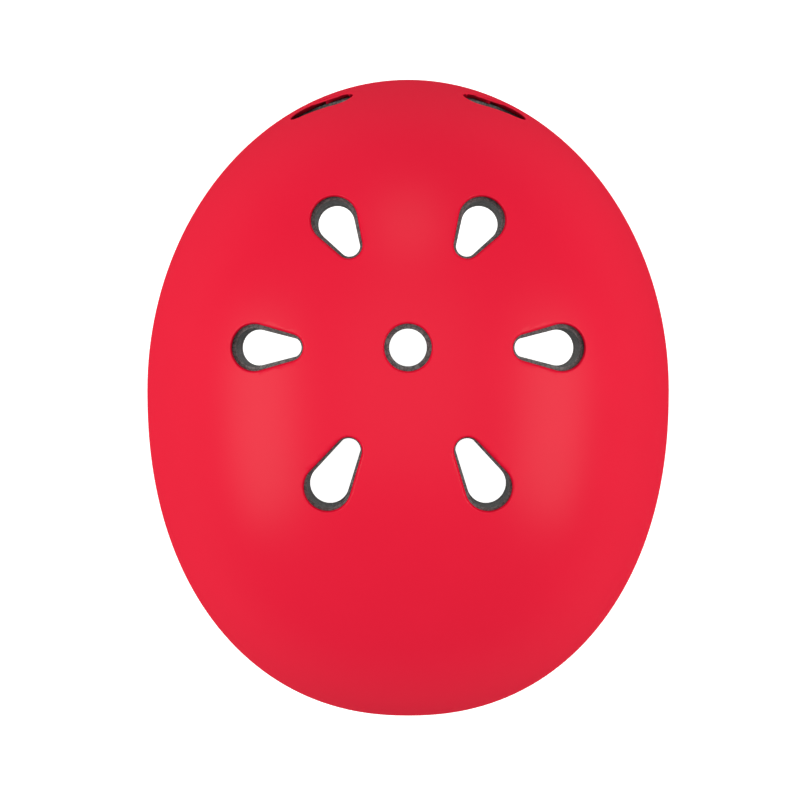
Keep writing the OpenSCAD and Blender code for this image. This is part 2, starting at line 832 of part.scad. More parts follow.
module click_ring() {
    low = cover_top + 0.15;
    high = knob_low + 1.2;
    color([0.7, 0.7, 0.7]) at_dial() difference() {
        union() {
            dial_round(low, high, click_ring_r);
            for (side = [-1, 1])
                translate([side * (click_ring_r + 0.2), 0, 0]) dial_round(low, high, 1);
        }
        dial_round(low - 1, high + 1, click_ring_r - 1.5);
    }
}

module dial_knob() {
    hub_r = shaft_r + 2.2;
    grip_r = 3;
    color([0.1, 0.1, 0.11]) at_dial() difference() {
        union() {
            difference() {
                dial_round(knob_low, knob_top, knob_r);
                dial_round(knob_low - 1, knob_top - knob_cap, knob_r - knob_wall);
            }
            dial_round(knob_low, knob_top - 1, hub_r);
        }
        for (k = [0:knob_grips - 1])
            rotate([0, 360 * k / knob_grips, 0])
                translate([knob_r + grip_r - 1, 0, 0]) dial_round(knob_low - 1, knob_top + 1, grip_r);
        dial_round(knob_low - 1, knob_top - knob_cap - 1, shaft_r + 0.05);
        dial_round(knob_low, knob_top + 1, knob_screw_r + 0.25);
        dial_round(knob_top - 2.6, knob_top + 1, 3.1);
    }
}

module knob_screw() {
    head_low = knob_top - 2.5;
    color([0.6, 0.6, 0.62]) at_dial() difference() {
        union() {
            dial_round(cover_top + 1.2, head_low + 0.1, knob_screw_r);
            dial_round(head_low, head_low + 1.8, 2.8);
        }
        dial_slab(head_low + 1, head_low + 3) {
            square([3.4, 0.8], center = true);
            square([0.8, 3.4], center = true);
        }
    }
}

module cradle_pad() {
    pad_w = housing_w - 2;
    pad_h = 2 * knob_r - 4;
    color([0.13, 0.13, 0.14]) at_dial() cushion(
        function (u, v) [pad_w * (u - 0.5), -channel_half - housing_plate - seat, pad_h * (v - 0.5)],
        function (p) [0, -1, 0],
        pad_thick,
        [0.33, 0.67],
        16
    );
}

// Strap anchors: place is -1 at the front and 1 at the rear
function anchor_y(place) = place < 0 ? -anchor_ahead : anchor_behind;
function anchor_spot(place) = [rim_mid_x(anchor_y(place)), anchor_y(place), rim_z(anchor_y(place))];

module anchor_place(side, place) {
    mirrored(side) translate(anchor_spot(place)) rotate([-place * anchor_lean, 0, 0]) children();
}

// The block that holds the webbing's end, or with room round it the pocket for the block
module anchor_block(room, below) {
    translate([-anchor_t / 2 - room, -anchor_w / 2 - room, 1 - room - 2 * below])
        cube([anchor_t + 2 * room, anchor_w + 2 * room, anchor_h + 2 * room + 2 * below]);
}

module strap_anchors() {
    color([0.12, 0.12, 0.13]) for (side = [-1, 1], place = [-1, 1])
        anchor_place(side, place) anchor_block(0, 0);
}

// Side straps run from an anchor to the divider
function side_strap_curve(place) =
    let (
        start = anchor_spot(place),
        down = [0, -place * sin(anchor_lean), -cos(anchor_lean)],
        end = [divider_at, chin_behind + place * 8, 6 - divider_drop]
    )
    [start - (1 - seat) * down, [start[0] - 2, 0, 0] + [0, start[1], start[2]] + 17 * down, end];

module side_strap(side, place) {
    color([0.1, 0.1, 0.11]) mirrored(side) webbing(side_strap_curve(place));
}

module strap_front_left() {
    side_strap(1, -1);
}

module strap_front_right() {
    side_strap(-1, -1);
}

module strap_rear_left() {
    side_strap(1, 1);
}

module strap_rear_right() {
    side_strap(-1, 1);
}

// Divider that joins front and rear strap; its frame has the webbing's middle at the origin
module at_divider(side) {
    mirrored(side) translate([divider_at, chin_behind, -divider_drop]) children();
}

// An outline in the divider's YZ plane, thickened along X
module divider_slab(from, to) {
    translate([from, 0, 0]) rotate([90, 0, 90]) linear_extrude(to - from) children();
}

module divider(side) {
    back = -web_t / 2 - 0.8;
    ear_in = web_w / 2 + 1.9;
    color([0.12, 0.12, 0.13]) at_divider(side) difference() {
        union() {
            divider_slab(back - divider_plate, back) {
                translate([0, divider_half / 2]) round_plate(34, divider_half, 5);
                translate([0, 1 - divider_half / 2]) round_plate(2 * ear_in + 4, divider_half, 3);
            }
            for (s = [-1, 1])
                translate([0, s * (ear_in + 1), 0]) divider_slab(back - overlap, lever_pin_out + 2.2)
                    translate([0, -lever_pin_drop]) round_plate(2, 5, 0.9);
        }
        translate([lever_pin_out, -cut, -lever_pin_drop])
            rotate([-90, 0, 0]) cylinder(h = 2 * cut, r = lever_pin_r + 0.05, $fn = 32);
    }
}

module divider_left() {
    divider(1);
}

module divider_right() {
    divider(-1);
}

module divider_lever(side) {
    lever_w = web_w + 2.8;
    plate_low = 1.8;
    plate_top = 4.2;
    plate_l = lever_pin_drop + 11;
    heel = 2.4;
    color([0.17, 0.17, 0.18]) at_divider(side) difference() {
        union() {
            translate([lever_pin_out, -lever_w / 2, -lever_pin_drop])
                rotate([-90, 0, 0]) cylinder(h = lever_w, r = lever_pin_r + 1, $fn = 32);
            divider_slab(plate_low, plate_top) translate([0, 3.5 - lever_pin_drop / 2])
                round_plate(lever_w, plate_l, 3);
        }
        translate([lever_pin_out, -cut, -lever_pin_drop])
            rotate([-90, 0, 0]) cylinder(h = 2 * cut, r = lever_pin_r + running, $fn = 32);
        translate([0, 0, -lever_pin_drop - heel - cut / 2]) cube([cut, 2 * cut, cut], center = true);
    }
}

module divider_lever_left() {
    divider_lever(1);
}

module divider_lever_right() {
    divider_lever(-1);
}

module divider_pins() {
    pin_l = web_w + 7.8;
    color([0.6, 0.6, 0.62]) for (side = [-1, 1])
        at_divider(side) translate([lever_pin_out, -pin_l / 2, -lever_pin_drop])
            rotate([-90, 0, 0]) cylinder(h = pin_l, r = lever_pin_r, $fn = 32);
}

module chin_strap_left() {
    color([0.1, 0.1, 0.11]) webbing(chin_curve, across = [0, 1, 0], steps = 16);
}

module chin_strap_right() {
    color([0.1, 0.1, 0.11]) mirror([1, 0, 0]) webbing(chin_curve, across = [0, 1, 0], steps = 16);
}

// The loose end of the adjustable strap, folded back under it
module strap_tail() {
    color([0.1, 0.1, 0.11]) mirror([1, 0, 0])
        webbing(chin_curve, 0.3, 0.99, [0, 1, 0], drop = tail_drop, steps = 12);
}

// Rubber loop round the strap and its tail
module strap_keeper() {
    way = curve_heading(chin_curve, keeper_at);
    room = 1.6;
    hole_h = tail_drop + web_t + room;
    color([0.09, 0.09, 0.1]) mirror([1, 0, 0])
        translate(curve_point(chin_curve, keeper_at))
            rotate([0, atan2(way[0], way[2]), 0])
                translate([-tail_drop / 2, 0, -3]) linear_extrude(6) difference() {
                    round_plate(hole_h + 3.2, web_w + 5, 1.6);
                    square([hole_h, web_w + 1.6], center = true);
                }
}

// Buckle frame: its middle, with X along the strap
module at_buckle() {
    translate([0, chin_behind, -buckle_drop]) children();
}

// A block of the buckle with round edges, along X
module buckle_block(from, to, w, t, r) {
    translate([from, 0, 0]) rotate([90, 0, 90]) linear_extrude(to - from) round_plate(w, t, r);
}

module buckle_socket() {
    wall = 1.9;
    color([0.11, 0.11, 0.12]) at_buckle() difference() {
        buckle_block(buckle_split, buckle_l / 2, buckle_w, buckle_t, 2.6);
        translate([buckle_split - 1, wall - buckle_w / 2, wall - buckle_t / 2])
            cube([15 - buckle_split, buckle_w - 2 * wall, buckle_t - 2 * wall]);
        translate([1.4, -buckle_w, -2.3]) cube([8.6, 2 * buckle_w, 4.6]);
        translate([strap_in_buckle - 2, -web_w / 2 - 0.4, -web_t / 2 - 0.4])
            cube([20, web_w + 0.8, web_t + 0.8]);
    }
}

module buckle_plug() {
    base_end = buckle_split - plug_gap;
    color([0.11, 0.11, 0.12]) at_buckle() difference() {
        union() {
            buckle_block(-buckle_l / 2, base_end, buckle_w, buckle_t, 2.6);
            translate([base_end - overlap, -1.6, -1.8]) cube([14, 3.2, 3.6]);
        }
        translate([-strap_in_buckle - 18, -web_w / 2 - 0.4, -web_t / 2 - tail_drop - 0.4])
            cube([20, web_w + 0.8, web_t + tail_drop + 0.8]);
    }
}

module buckle_prongs() {
    root = buckle_split - plug_gap + 0.05;
    inner_y = buckle_w / 2 - 6.6;
    color([0.11, 0.11, 0.12]) at_buckle() for (side = [-1, 1])
        translate([0, 0, -prong_t / 2]) linear_extrude(prong_t) polygon([
            [root, side * inner_y], [root, side * (inner_y + 2.4)],
            [2.2, side * (inner_y + 2.8)], [2.2, side * (buckle_w / 2 - 0.4)], [5.5, side * (buckle_w / 2 - 0.4)],
            [9.4, side * (inner_y + 3.2)], [9.4, side * inner_y]
        ]);
}

// Soft sleeve round the left chin strap
module chin_pad() {
    from = chin_pad_end - chin_pad_share;
    sleeve_w = web_w + 9;
    sleeve_t = 8.6;
    low = -3;
    function face(u) = unit(cross([0, 1, 0], curve_heading(chin_curve, u)));
    color([0.13, 0.13, 0.14]) difference() {
        cushion(
            function (u, v)
                let (s = from + chin_pad_share * u)
                curve_point(chin_curve, s) + [0, sleeve_w * (v - 0.5), 0] + low * face(s),
            function (p) face(chin_pad_end - chin_pad_share / 2),
            sleeve_t,
            [],
            14,
            edge = 0.66
        );
        webbing(chin_curve, across = [0, 1, 0], width = web_w + 0.8, thick = web_t + 0.6, steps = 16);
    }
}

outer_shell();
eps_liner();
edge_trim();
head_ring();
brow_pin();
temple_pins();
brow_pad();
crown_pad_front();
crown_pad_rear();
side_pad_left();
side_pad_right();
hook_dots();
side_arm_left();
side_arm_right();
rack_left();
rack_right();
dial_housing_inner();
dial_housing_outer();
housing_screws();
pinion();
click_ring();
dial_knob();
knob_screw();
cradle_pad();
strap_anchors();
strap_front_left();
strap_front_right();
strap_rear_left();
strap_rear_right();
divider_left();
divider_right();
divider_lever_left();
divider_lever_right();
divider_pins();
chin_strap_left();
chin_strap_right();
strap_tail();
strap_keeper();
buckle_socket();
buckle_plug();
buckle_prongs();
chin_pad();
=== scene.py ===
# Child's scooter helmet: its looks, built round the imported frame.
# Metres, +Z up, the brow faces -Y, +X is the wearer's left.
from math import asin, atan2, copysign, cos, exp, hypot, pi, radians, sin, sqrt

import bmesh
import bpy
from mathutils import Matrix, Vector


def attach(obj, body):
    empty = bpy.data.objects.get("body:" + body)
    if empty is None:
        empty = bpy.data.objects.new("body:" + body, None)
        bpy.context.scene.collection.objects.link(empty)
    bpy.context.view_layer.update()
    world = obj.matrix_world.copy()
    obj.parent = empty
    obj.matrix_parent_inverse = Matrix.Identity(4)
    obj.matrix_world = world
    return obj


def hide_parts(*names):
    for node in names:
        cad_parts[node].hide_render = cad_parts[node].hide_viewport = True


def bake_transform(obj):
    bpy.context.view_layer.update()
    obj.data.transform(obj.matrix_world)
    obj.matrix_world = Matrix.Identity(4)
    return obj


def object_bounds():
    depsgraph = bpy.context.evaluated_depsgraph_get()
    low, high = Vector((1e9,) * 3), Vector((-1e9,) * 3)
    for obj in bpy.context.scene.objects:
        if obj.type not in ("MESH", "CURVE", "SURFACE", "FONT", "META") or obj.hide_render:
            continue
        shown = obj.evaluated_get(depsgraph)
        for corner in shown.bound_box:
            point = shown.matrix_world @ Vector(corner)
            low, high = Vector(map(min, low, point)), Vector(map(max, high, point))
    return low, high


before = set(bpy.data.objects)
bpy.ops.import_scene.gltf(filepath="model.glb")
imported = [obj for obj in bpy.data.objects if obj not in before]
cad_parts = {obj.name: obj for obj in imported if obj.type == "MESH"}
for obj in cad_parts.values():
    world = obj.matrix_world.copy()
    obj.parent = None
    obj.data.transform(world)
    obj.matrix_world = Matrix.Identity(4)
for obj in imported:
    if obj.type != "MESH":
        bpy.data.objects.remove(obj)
cad_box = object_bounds()

MM = 0.001
TINY = 1e-6
UP = Vector((0, 0, 1))
BACKWARDS = Vector((0, 1, 0))

# Surfaces of the helmet, as in the part's source: half width, reach to the front, reach to the rear,
# height, and the depth at which the side curve would close
SHELL_OUT = [x * MM for x in (102.5, 122, 128, 100, 115)]
SHELL_IN = [x - 2 * MM for x in SHELL_OUT]
FOAM_OUT = [x - 2.25 * MM for x in SHELL_OUT]
FOAM_IN = [x * MM for x in (79.25, 96.75, 100.75, 74.75, 102.25)]
WIDEST_AHEAD = 3 * MM
FRONT_POWER = 2
REAR_POWER = 2.19

# Depth of the rim at the brow, temples, ears and nape, and the places where it changes
RIM_DEPTHS = [x * MM for x in (10, 16, 8, 40)]
RIM_PLACES = [x * MM for x in (-95, -50, 5, 85)]

# How far the crown vent lies ahead of the middle
VENTS_AHEAD = 20 * MM
# The vents in millimetres; each is the hull of two rounds, by place and radius across its face
CROWN_VENT_R = 8.45
PETAL_TIP_AT = 42.4
PETAL_TIP_R = 4.85
PETAL_R = 8.5
# Each petal's angle round the crown vent and the distance of its wide end, then in the foam the distance
# of its narrow end and the radius of its wide end
PETALS = (
    (0, 55.6, 41.8, 7.6),
    (180, 55.6, 41.8, 7.6),
    (60, 57.8, 42.1, 8.0),
    (120, 57.8, 42.1, 8.0),
    (240, 53.5, 42.1, 7.8),
    (300, 53.5, 42.1, 7.8),
)
# A slot's distance from the middle, height above the widest section, width, height and slope in degrees
BROW_SLOT = (33, 28, 24.5, 11, 17)
NAPE_SLOT = (30, 6, 28, 11, 0)
FOAM_NAPE_SLOT = (30, 6, 25.2, 9.6, 0)
# In the foam: the crown bore's radius, how much less a petal has at its narrow end, and a brow slot's rounds
FOAM_CROWN_R = 6.9
FOAM_TIP_LESS = 3.5
FOAM_BROW_SLOT = ((27, 29.5, 5), (40, 23.5, 6.5))
# Width of the rounded lips, and how much of the shell's wall is left at the edge of a slot
LIP = 0.9 * MM
SLOT_LIP = 0.4 * MM
SLOT_WALL = 0.25
# How near a point lies to a vent's outline when it is a point of the cut
ON_CUT = 20 * TINY


def eased(low, high, x):
    """A soft step from 0 to 1 between two places."""
    share = min(1, max(0, (x - low) / (high - low)))
    return share * share * (3 - 2 * share)


def rim_z(y):
    """Height of the helmet's rim."""
    z = -RIM_DEPTHS[0]
    for k in range(3):
        z += (RIM_DEPTHS[k] - RIM_DEPTHS[k + 1]) * eased(RIM_PLACES[k], RIM_PLACES[k + 1], y)
    return z


def half_plan(dome, ahead):
    """The power of a dome's plan curve and its reach, ahead of the widest section or behind it."""
    return (FRONT_POWER, dome[1]) if ahead else (REAR_POWER, dome[2])


def half_height(dome, z):
    """A dome's height above its widest section, or its depth below it."""
    return dome[4] if z < 0 else dome[3]


def dome_point(dome, turn, rise):
    """A point of a dome, by the angle round it and the angle up from its widest section."""
    power, reach = half_plan(dome, sin(turn) < 0)
    across, along = (copysign(abs(x) ** (2 / power), x) for x in (cos(turn), sin(turn)))
    return Vector((
        dome[0] * cos(rise) * across,
        reach * cos(rise) * along - WIDEST_AHEAD,
        half_height(dome, rise) * sin(rise),
    ))


def rim_rise(dome, turn):
    """The angle at which a dome meets the rim, closed in on step by step."""
    rise = 0
    for _ in range(6):
        rise = asin(rim_z(dome_point(dome, turn, rise).y) / dome[4])
    return rise


def plan_sum(dome, power, reach, x, y):
    """1 where a place lies on a dome's outline as seen from above, less inside it."""
    return (abs(x) / dome[0]) ** power + (abs(y + WIDEST_AHEAD) / reach) ** power


def skin_height(dome, face, u, v):
    """How far out a dome's skin lies over a place on a face: the top, the brow or the nape."""
    if face == "top":
        power, reach = half_plan(dome, v < -WIDEST_AHEAD)
        return dome[3] * sqrt(max(0, 1 - plan_sum(dome, power, reach, u, v) ** (2 / power)))
    ahead = face == "brow"
    power, reach = half_plan(dome, ahead)
    section = sqrt(1 - (v / half_height(dome, v)) ** 2)
    out = reach * (section ** power - (abs(u) / dome[0]) ** power) ** (1 / power)
    return out + WIDEST_AHEAD if ahead else out - WIDEST_AHEAD


def skin_level(dome, p):
    """1 on a dome's skin, less inside it."""
    power, reach = half_plan(dome, p.y < -WIDEST_AHEAD)
    return plan_sum(dome, power, reach, p.x, p.y) ** (2 / power) + (p.z / half_height(dome, p.z)) ** 2


def wall_x(dome, y, z):
    """Half width of a dome at a place along it and a height."""
    power, reach = half_plan(dome, y < -WIDEST_AHEAD)
    section = sqrt(1 - (z / half_height(dome, z)) ** 2)
    along = abs(y + WIDEST_AHEAD) / (reach * section)
    return dome[0] * section * (1 - along ** power) ** (1 / power)


def inward(dome, p):
    """The way from a dome's wall towards its hollow."""
    reach = half_plan(dome, p.y < -WIDEST_AHEAD)[1]
    out = Vector((p.x / dome[0] ** 2, (p.y + WIDEST_AHEAD) / reach ** 2, p.z / half_height(dome, p.z) ** 2))
    return -out.normalized()


def on_face(face, p):
    """A point as its place across a face and its height out of it."""
    if face == "top":
        return p.x, p.y, p.z
    return p.x, p.z, -p.y if face == "brow" else p.y


def from_face(face, u, v, out):
    """The point at a place across a face and a height out of it."""
    if face == "top":
        return Vector((u, v, out))
    return Vector((u, -out if face == "brow" else out, v))


def petal(turn, tip_at, wide_at, tip_r, wide_r):
    """A vent that widens away from the crown vent."""
    way = Vector((cos(radians(turn)), sin(radians(turn))))
    rounds = ((tip_at, tip_r), (wide_at, wide_r))
    return "top", [(way.x * at * MM, way.y * at * MM - VENTS_AHEAD, r * MM) for at, r in rounds]


def slot_vent(face, side, at, up, width, height, slope):
    """A round-ended slot that slopes down towards its outer end."""
    reach = (width - height) / 2
    out, down = reach * cos(radians(slope)), reach * sin(radians(slope))
    return face, [(side * (at + s * out) * MM, (up - s * down) * MM, height / 2 * MM) for s in (-1, 1)]


def shell_vents():
    """The shell's vents, each with the width of its lip and the share of the wall left at its edge."""
    vents = [("top", [(0, -VENTS_AHEAD, CROWN_VENT_R * MM)] * 2, LIP, 1)]
    for turn, wide_at, _, _ in PETALS:
        vents.append((*petal(turn, PETAL_TIP_AT, wide_at, PETAL_TIP_R, PETAL_R), LIP, 1))
    for side in (-1, 1):
        vents.append((*slot_vent("brow", side, *BROW_SLOT), SLOT_LIP, SLOT_WALL))
        vents.append((*slot_vent("nape", side, *NAPE_SLOT), SLOT_LIP, SLOT_WALL))
    return vents


def foam_vents():
    """The foam's vents, each with how much narrower it is at its inner side."""
    vents = [("top", [(0, -VENTS_AHEAD, FOAM_CROWN_R * MM)] * 2, 0.1 * MM)]
    for turn, wide_at, tip_at, wide_r in PETALS:
        vents.append((*petal(turn, tip_at, wide_at, wide_r - FOAM_TIP_LESS, wide_r), 1.1 * MM))
    for side in (-1, 1):
        brow = [(side * at * MM, up * MM, r * MM) for at, up, r in FOAM_BROW_SLOT]
        vents.append(("brow", brow, 0.5 * MM))
        vents.append((*slot_vent("nape", side, *FOAM_NAPE_SLOT), 0.5 * MM))
    return vents


def vent_reach(ends, u, v):
    """Distance of a place from a vent's outline, and the way from the outline to it."""
    (u1, v1, r1), (u2, v2, r2) = ends
    p = Vector((u - u1, v - v1))
    axis = Vector((u2 - u1, v2 - v1))
    if axis.length < TINY:
        return p.length - r1, p.normalized()
    length = axis.length
    axis.normalize()
    along = p.dot(axis)
    across = abs(p.x * axis.y - p.y * axis.x)
    lean = (r2 - r1) / length
    foot = min(length, max(0, along + across * lean / sqrt(1 - lean * lean)))
    away = p - axis * foot
    return away.length - (r1 + lean * foot), away.normalized()


# Modelling steps


def new_object(name, data):
    """Puts a mesh, lamp or camera into the scene."""
    thing = bpy.data.objects.new(name, data)
    bpy.context.scene.collection.objects.link(thing)
    return thing


def choose(*pieces):
    """Selects pieces and nothing else; the first one becomes active."""
    bpy.ops.object.select_all(action="DESELECT")
    for piece in pieces:
        piece.select_set(True)
    bpy.context.view_layer.objects.active = pieces[0]


def open_piece(piece, select="DESELECT"):
    """Opens one piece for editing, with nothing in it selected, or with all of it."""
    choose(piece)
    bpy.ops.object.mode_set(mode="EDIT")
    bpy.ops.mesh.select_all(action=select)


def close_piece():
    bpy.ops.object.mode_set(mode="OBJECT")


def pick(piece, kind, test):
    """Selects the points, edges or faces of the open piece for which the test holds."""
    bpy.ops.mesh.select_mode(type={"verts": "VERT", "edges": "EDGE", "faces": "FACE"}[kind])
    mesh = bmesh.from_edit_mesh(piece.data)
    for element in getattr(mesh, kind):
        element.select_set(test(element))
    mesh.select_flush_mode()
    bmesh.update_edit_mesh(piece.data)


def runs_along(axis):
    """A test for edges that run along an axis."""
    def test(e):
        way = e.verts[1].co - e.verts[0].co
        return abs(way[axis]) > 0.99 * way.length
    return test


def cut_cells(block, cuts):
    """Cuts a block evenly along X, Y and Z."""
    open_piece(block)
    for axis, count in enumerate(cuts):
        pick(block, "edges", runs_along(axis))
        bpy.ops.mesh.subdivide(number_cuts=count)
    close_piece()


def reshape(piece, place):
    """Puts every point of a piece where a rule says."""
    for v in piece.data.vertices:
        v.co = place(v.co)
    piece.data.update()


def move_by(piece, matrix):
    """Moves a piece's mesh; the piece itself stays at the origin."""
    piece.data.transform(matrix)
    piece.data.update()


def apply_modifier(piece, kind, **settings):
    bpy.context.view_layer.objects.active = piece
    modifier = piece.modifiers.new(kind.lower(), kind)
    for key, value in settings.items():
        setattr(modifier, key, value)
    bpy.ops.object.modifier_apply(modifier=modifier.name)


def ease_edges(piece, width, degrees=60, segments=3):
    """Rounds the edges that are sharper than an angle; the width is in millimetres."""
    limit = radians(degrees)
    apply_modifier(
        piece, "BEVEL", width=width * MM, segments=segments, limit_method="ANGLE", angle_limit=limit
    )


def join_into(piece, *others):
    choose(piece, *others)
    bpy.ops.object.join()
    return piece


def combine(piece, other, operation):
    """Unites a piece with another solid, or cuts that solid away from it; the other one is used up."""
    apply_modifier(piece, "BOOLEAN", operation=operation, object=other, solver="EXACT")
    bpy.data.objects.remove(other)


def cut_away(piece, *others):
    for other in others:
        combine(piece, other, "DIFFERENCE")


def flip_faces(piece):
    """Turns a piece's faces to its other side."""
    open_piece(piece, "SELECT")
    bpy.ops.mesh.flip_normals()
    close_piece()


def mirror_across(piece):
    """Turns a left piece into a right one."""
    reshape(piece, lambda p: Vector((-p.x, p.y, p.z)))
    flip_faces(piece)


def smooth(piece, degrees=180):
    choose(piece)
    if degrees >= 180:
        bpy.ops.object.shade_smooth()
    else:
        bpy.ops.object.shade_smooth_by_angle(angle=radians(degrees))


def settled():
    """Applies the place, turn and size of the primitive that was just added, and gives that piece."""
    bpy.ops.object.transform_apply(location=True, rotation=True, scale=True)
    return bpy.context.object


def axes(x, y, z):
    """The turn that lays X, Y and Z along three ways."""
    return Matrix((x, y, z)).transposed()


def new_block(size, middle):
    """A block by its size and the place of its middle, in millimetres."""
    bpy.ops.mesh.primitive_cube_add(size=1, location=[x * MM for x in middle], scale=[x * MM for x in size])
    return settled()


def rounded_block(size, middle, axis, corner, edge):
    """A block whose corners are round about one axis, with its other edges eased."""
    block = new_block(size, middle)
    open_piece(block)
    pick(block, "edges", runs_along(axis))
    bpy.ops.mesh.bevel(offset=corner * MM, segments=10, affect="EDGES")
    close_piece()
    if edge:
        ease_edges(block, edge)
    return block


def new_round(r, low, high, middle=(0, 0), vertices=96):
    """A round along Y between two places, in millimetres; its middle is given across X and Z."""
    bpy.ops.mesh.primitive_cylinder_add(
        vertices=vertices,
        radius=r * MM,
        depth=(high - low) * MM,
        location=(middle[0] * MM, (low + high) / 2 * MM, middle[1] * MM),
        rotation=(pi / 2, 0, 0),
    )
    return settled()


def finished(piece, name, body, slot, *nodes):
    """Names a piece, gives it its finish, and puts it on its body in place of its CAD nodes."""
    piece.name = name
    piece.data.name = name
    piece.data.materials.clear()
    piece.data.materials.append(FINISHES[slot])
    if nodes:
        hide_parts(*nodes)
    if body:
        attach(piece, body)


# Shell and liner

DOME_COLUMNS = 192
DOME_RINGS = 96
RINGS_BELOW = 8


def dome_sheet(dome):
    """One skin of the helmet, from a sphere whose lower rings are drawn in to the rim."""
    low = pi / DOME_RINGS * RINGS_BELOW
    bpy.ops.mesh.primitive_uv_sphere_add(segments=DOME_COLUMNS, ring_count=DOME_RINGS, radius=1)
    sheet = bpy.context.object
    open_piece(sheet)
    pick(sheet, "verts", lambda v: v.co.z < -sin(low) - TINY)
    bpy.ops.mesh.delete(type="VERT")
    close_piece()

    def place(p):
        turn = atan2(p.y, p.x)
        rise = asin(max(-1, min(1, p.z)))
        return dome_point(dome, turn, rise if rise >= 0 else -rise / low * rim_rise(dome, turn))

    reshape(sheet, place)
    return sheet


def dome_wall(outer, inner):
    """A closed wall between two skins."""
    wall = dome_sheet(outer)
    lining = dome_sheet(inner)
    flip_faces(lining)
    join_into(wall, lining)
    open_piece(wall)
    bpy.ops.mesh.select_mode(type="EDGE")
    bpy.ops.mesh.select_non_manifold()
    bpy.ops.mesh.bridge_edge_loops()
    close_piece()
    return wall


def vent_cutter(face, ends, grow, taper=0):
    """A solid as wide as a vent, drawn in by its taper towards the hollow."""
    low, high = (40 * MM, 120 * MM) if face == "top" else (60 * MM, 150 * MM)
    turned = {"top": (0, 0, 0), "brow": (pi / 2, 0, 0), "nape": (-pi / 2, 0, 0)}[face]
    cutter = None
    for u, v, r in ends:
        bpy.ops.mesh.primitive_cone_add(
            vertices=96,
            radius1=r + grow - taper,
            radius2=r + grow,
            depth=high - low,
            location=from_face(face, u, v, (low + high) / 2),
            rotation=turned,
        )
        if cutter is None:
            cutter = settled()
            bpy.ops.object.mode_set(mode="EDIT")
    bpy.ops.mesh.select_all(action="SELECT")
    bpy.ops.mesh.convex_hull()
    close_piece()
    return cutter


def round_vent_lips(shell, vents):
    """Rounds the shell's edge over in every vent: the straight sides of the cuts swell into the opening."""
    open_piece(shell)

    def vent_side(e):
        a, b = (v.co for v in e.verts)
        for face, ends, lip, _ in vents:
            ua, va, ha = on_face(face, a)
            ub, vb, hb = on_face(face, b)
            if ha > 0 and hypot(ua - ub, va - vb) < TINY and abs(ha - hb) > MM:
                if abs(vent_reach(ends, ua, va)[0] - lip) < ON_CUT:
                    return True
        return False

    pick(shell, "edges", vent_side)
    bpy.ops.mesh.subdivide(number_cuts=7)
    close_piece()

    def place(p):
        for face, ends, lip, wall in vents:
            u, v, out = on_face(face, p)
            if out < 0:
                continue
            reach, away = vent_reach(ends, u, v)
            if abs(reach - lip) > ON_CUT:
                continue
            top = skin_height(SHELL_OUT, face, u, v)
            low = skin_height(SHELL_IN, face, u, v)
            share = (top - out) / (top - low)
            if share > 0.02:
                roll = lip * sin(pi / 2 * share)
                sink = 1 - cos(pi / 2 * share)
                u -= away.x * roll
                v -= away.y * roll
                top = skin_height(SHELL_OUT, face, u, v)
                low = skin_height(SHELL_IN, face, u, v)
                return from_face(face, u, v, top + (low - top) * sink * wall)
        return p

    reshape(shell, place)


def make_shell():
    shell = dome_wall(SHELL_OUT, SHELL_IN)
    vents = shell_vents()
    cut_away(shell, join_into(*[vent_cutter(face, ends, lip) for face, ends, lip, _ in vents]))
    round_vent_lips(shell, vents)
    smooth(shell, 60)
    apply_modifier(shell, "WEIGHTED_NORMAL", weight=80, keep_sharp=True)
    finished(shell, "shell", "helmet", "shell_red", "outer_shell")


def make_liner():
    """The foam; its depth attribute is 1 on the side of the head, where the foam's material paints shade by
    darkening the beads.
    """
    liner = dome_wall(FOAM_OUT, FOAM_IN)
    cut_away(liner, join_into(*[vent_cutter(face, ends, 0, taper) for face, ends, taper in foam_vents()]))
    smooth(liner, 35)
    # The depth attribute marks the head side, which the foam's material darkens as painted shade
    depth = liner.data.attributes.new("depth", "FLOAT", "POINT")
    for v in liner.data.vertices:
        depth.data[v.index].value = 1 if skin_level(FOAM_IN, v.co) < 1.02 else 0
    finished(liner, "liner", "helmet", "liner_foam", "eps_liner")


# Webbing and straps, in millimetres

WEB_W = 15
WEB_T = 1.6
TAIL_DROP = 2.3
STRIP_EDGE = 0.6
STRIP_CELL = 1.5
ANCHOR_LEAN = radians(28)
ANCHOR_PLACES = {"front": (-1, -42), "rear": (1, 55)}
DIVIDER = Vector((71, 5, -62))
CHIN_CURVE = [Vector((71, 5, -65)), Vector((70, 5, -112)), Vector((18, 5, -112))]
BUCKLE = Vector((0, 5, -112))
KEEPER_AT = 0.45


def new_strip(length, width, thick, cuts):
    """A straight strip along X with rounded edges; its UV map is the distance along and across it."""
    strip = new_block((length, width, thick), (length / 2, 0, 0))
    open_piece(strip)
    pick(strip, "edges", runs_along(0))
    bpy.ops.mesh.bevel(offset=STRIP_EDGE * MM, segments=4, affect="EDGES")
    pick(strip, "edges", runs_along(0))
    bpy.ops.mesh.subdivide(number_cuts=cuts)
    close_piece()
    for loop in strip.data.loops:
        co = strip.data.vertices[loop.vertex_index].co
        strip.data.uv_layers.active.data[loop.index].uv = (co.x, co.y)
    return strip


def lay_strip(strip, length, place):
    """Lays a strip along a path; place gives a middle point, the way across and the way out of its face."""
    def laid(p):
        middle, across, face = place(p.x / (length * MM))
        return middle + across * p.y + face * p.z

    reshape(strip, laid)


def curve_point(curve, u):
    return (1 - u) ** 2 * curve[0] + 2 * u * (1 - u) * curve[1] + u * u * curve[2]


def curve_heading(curve, u):
    return ((1 - u) * (curve[1] - curve[0]) + u * (curve[2] - curve[1])).normalized()


def curve_face(curve, u):
    """The way out of a chin strap's face, towards the chin on the left and away from it on the right."""
    return BACKWARDS.cross(curve_heading(curve, u)).normalized()


def other_side(curve):
    return [Vector((-p.x, p.y, p.z)) for p in curve]


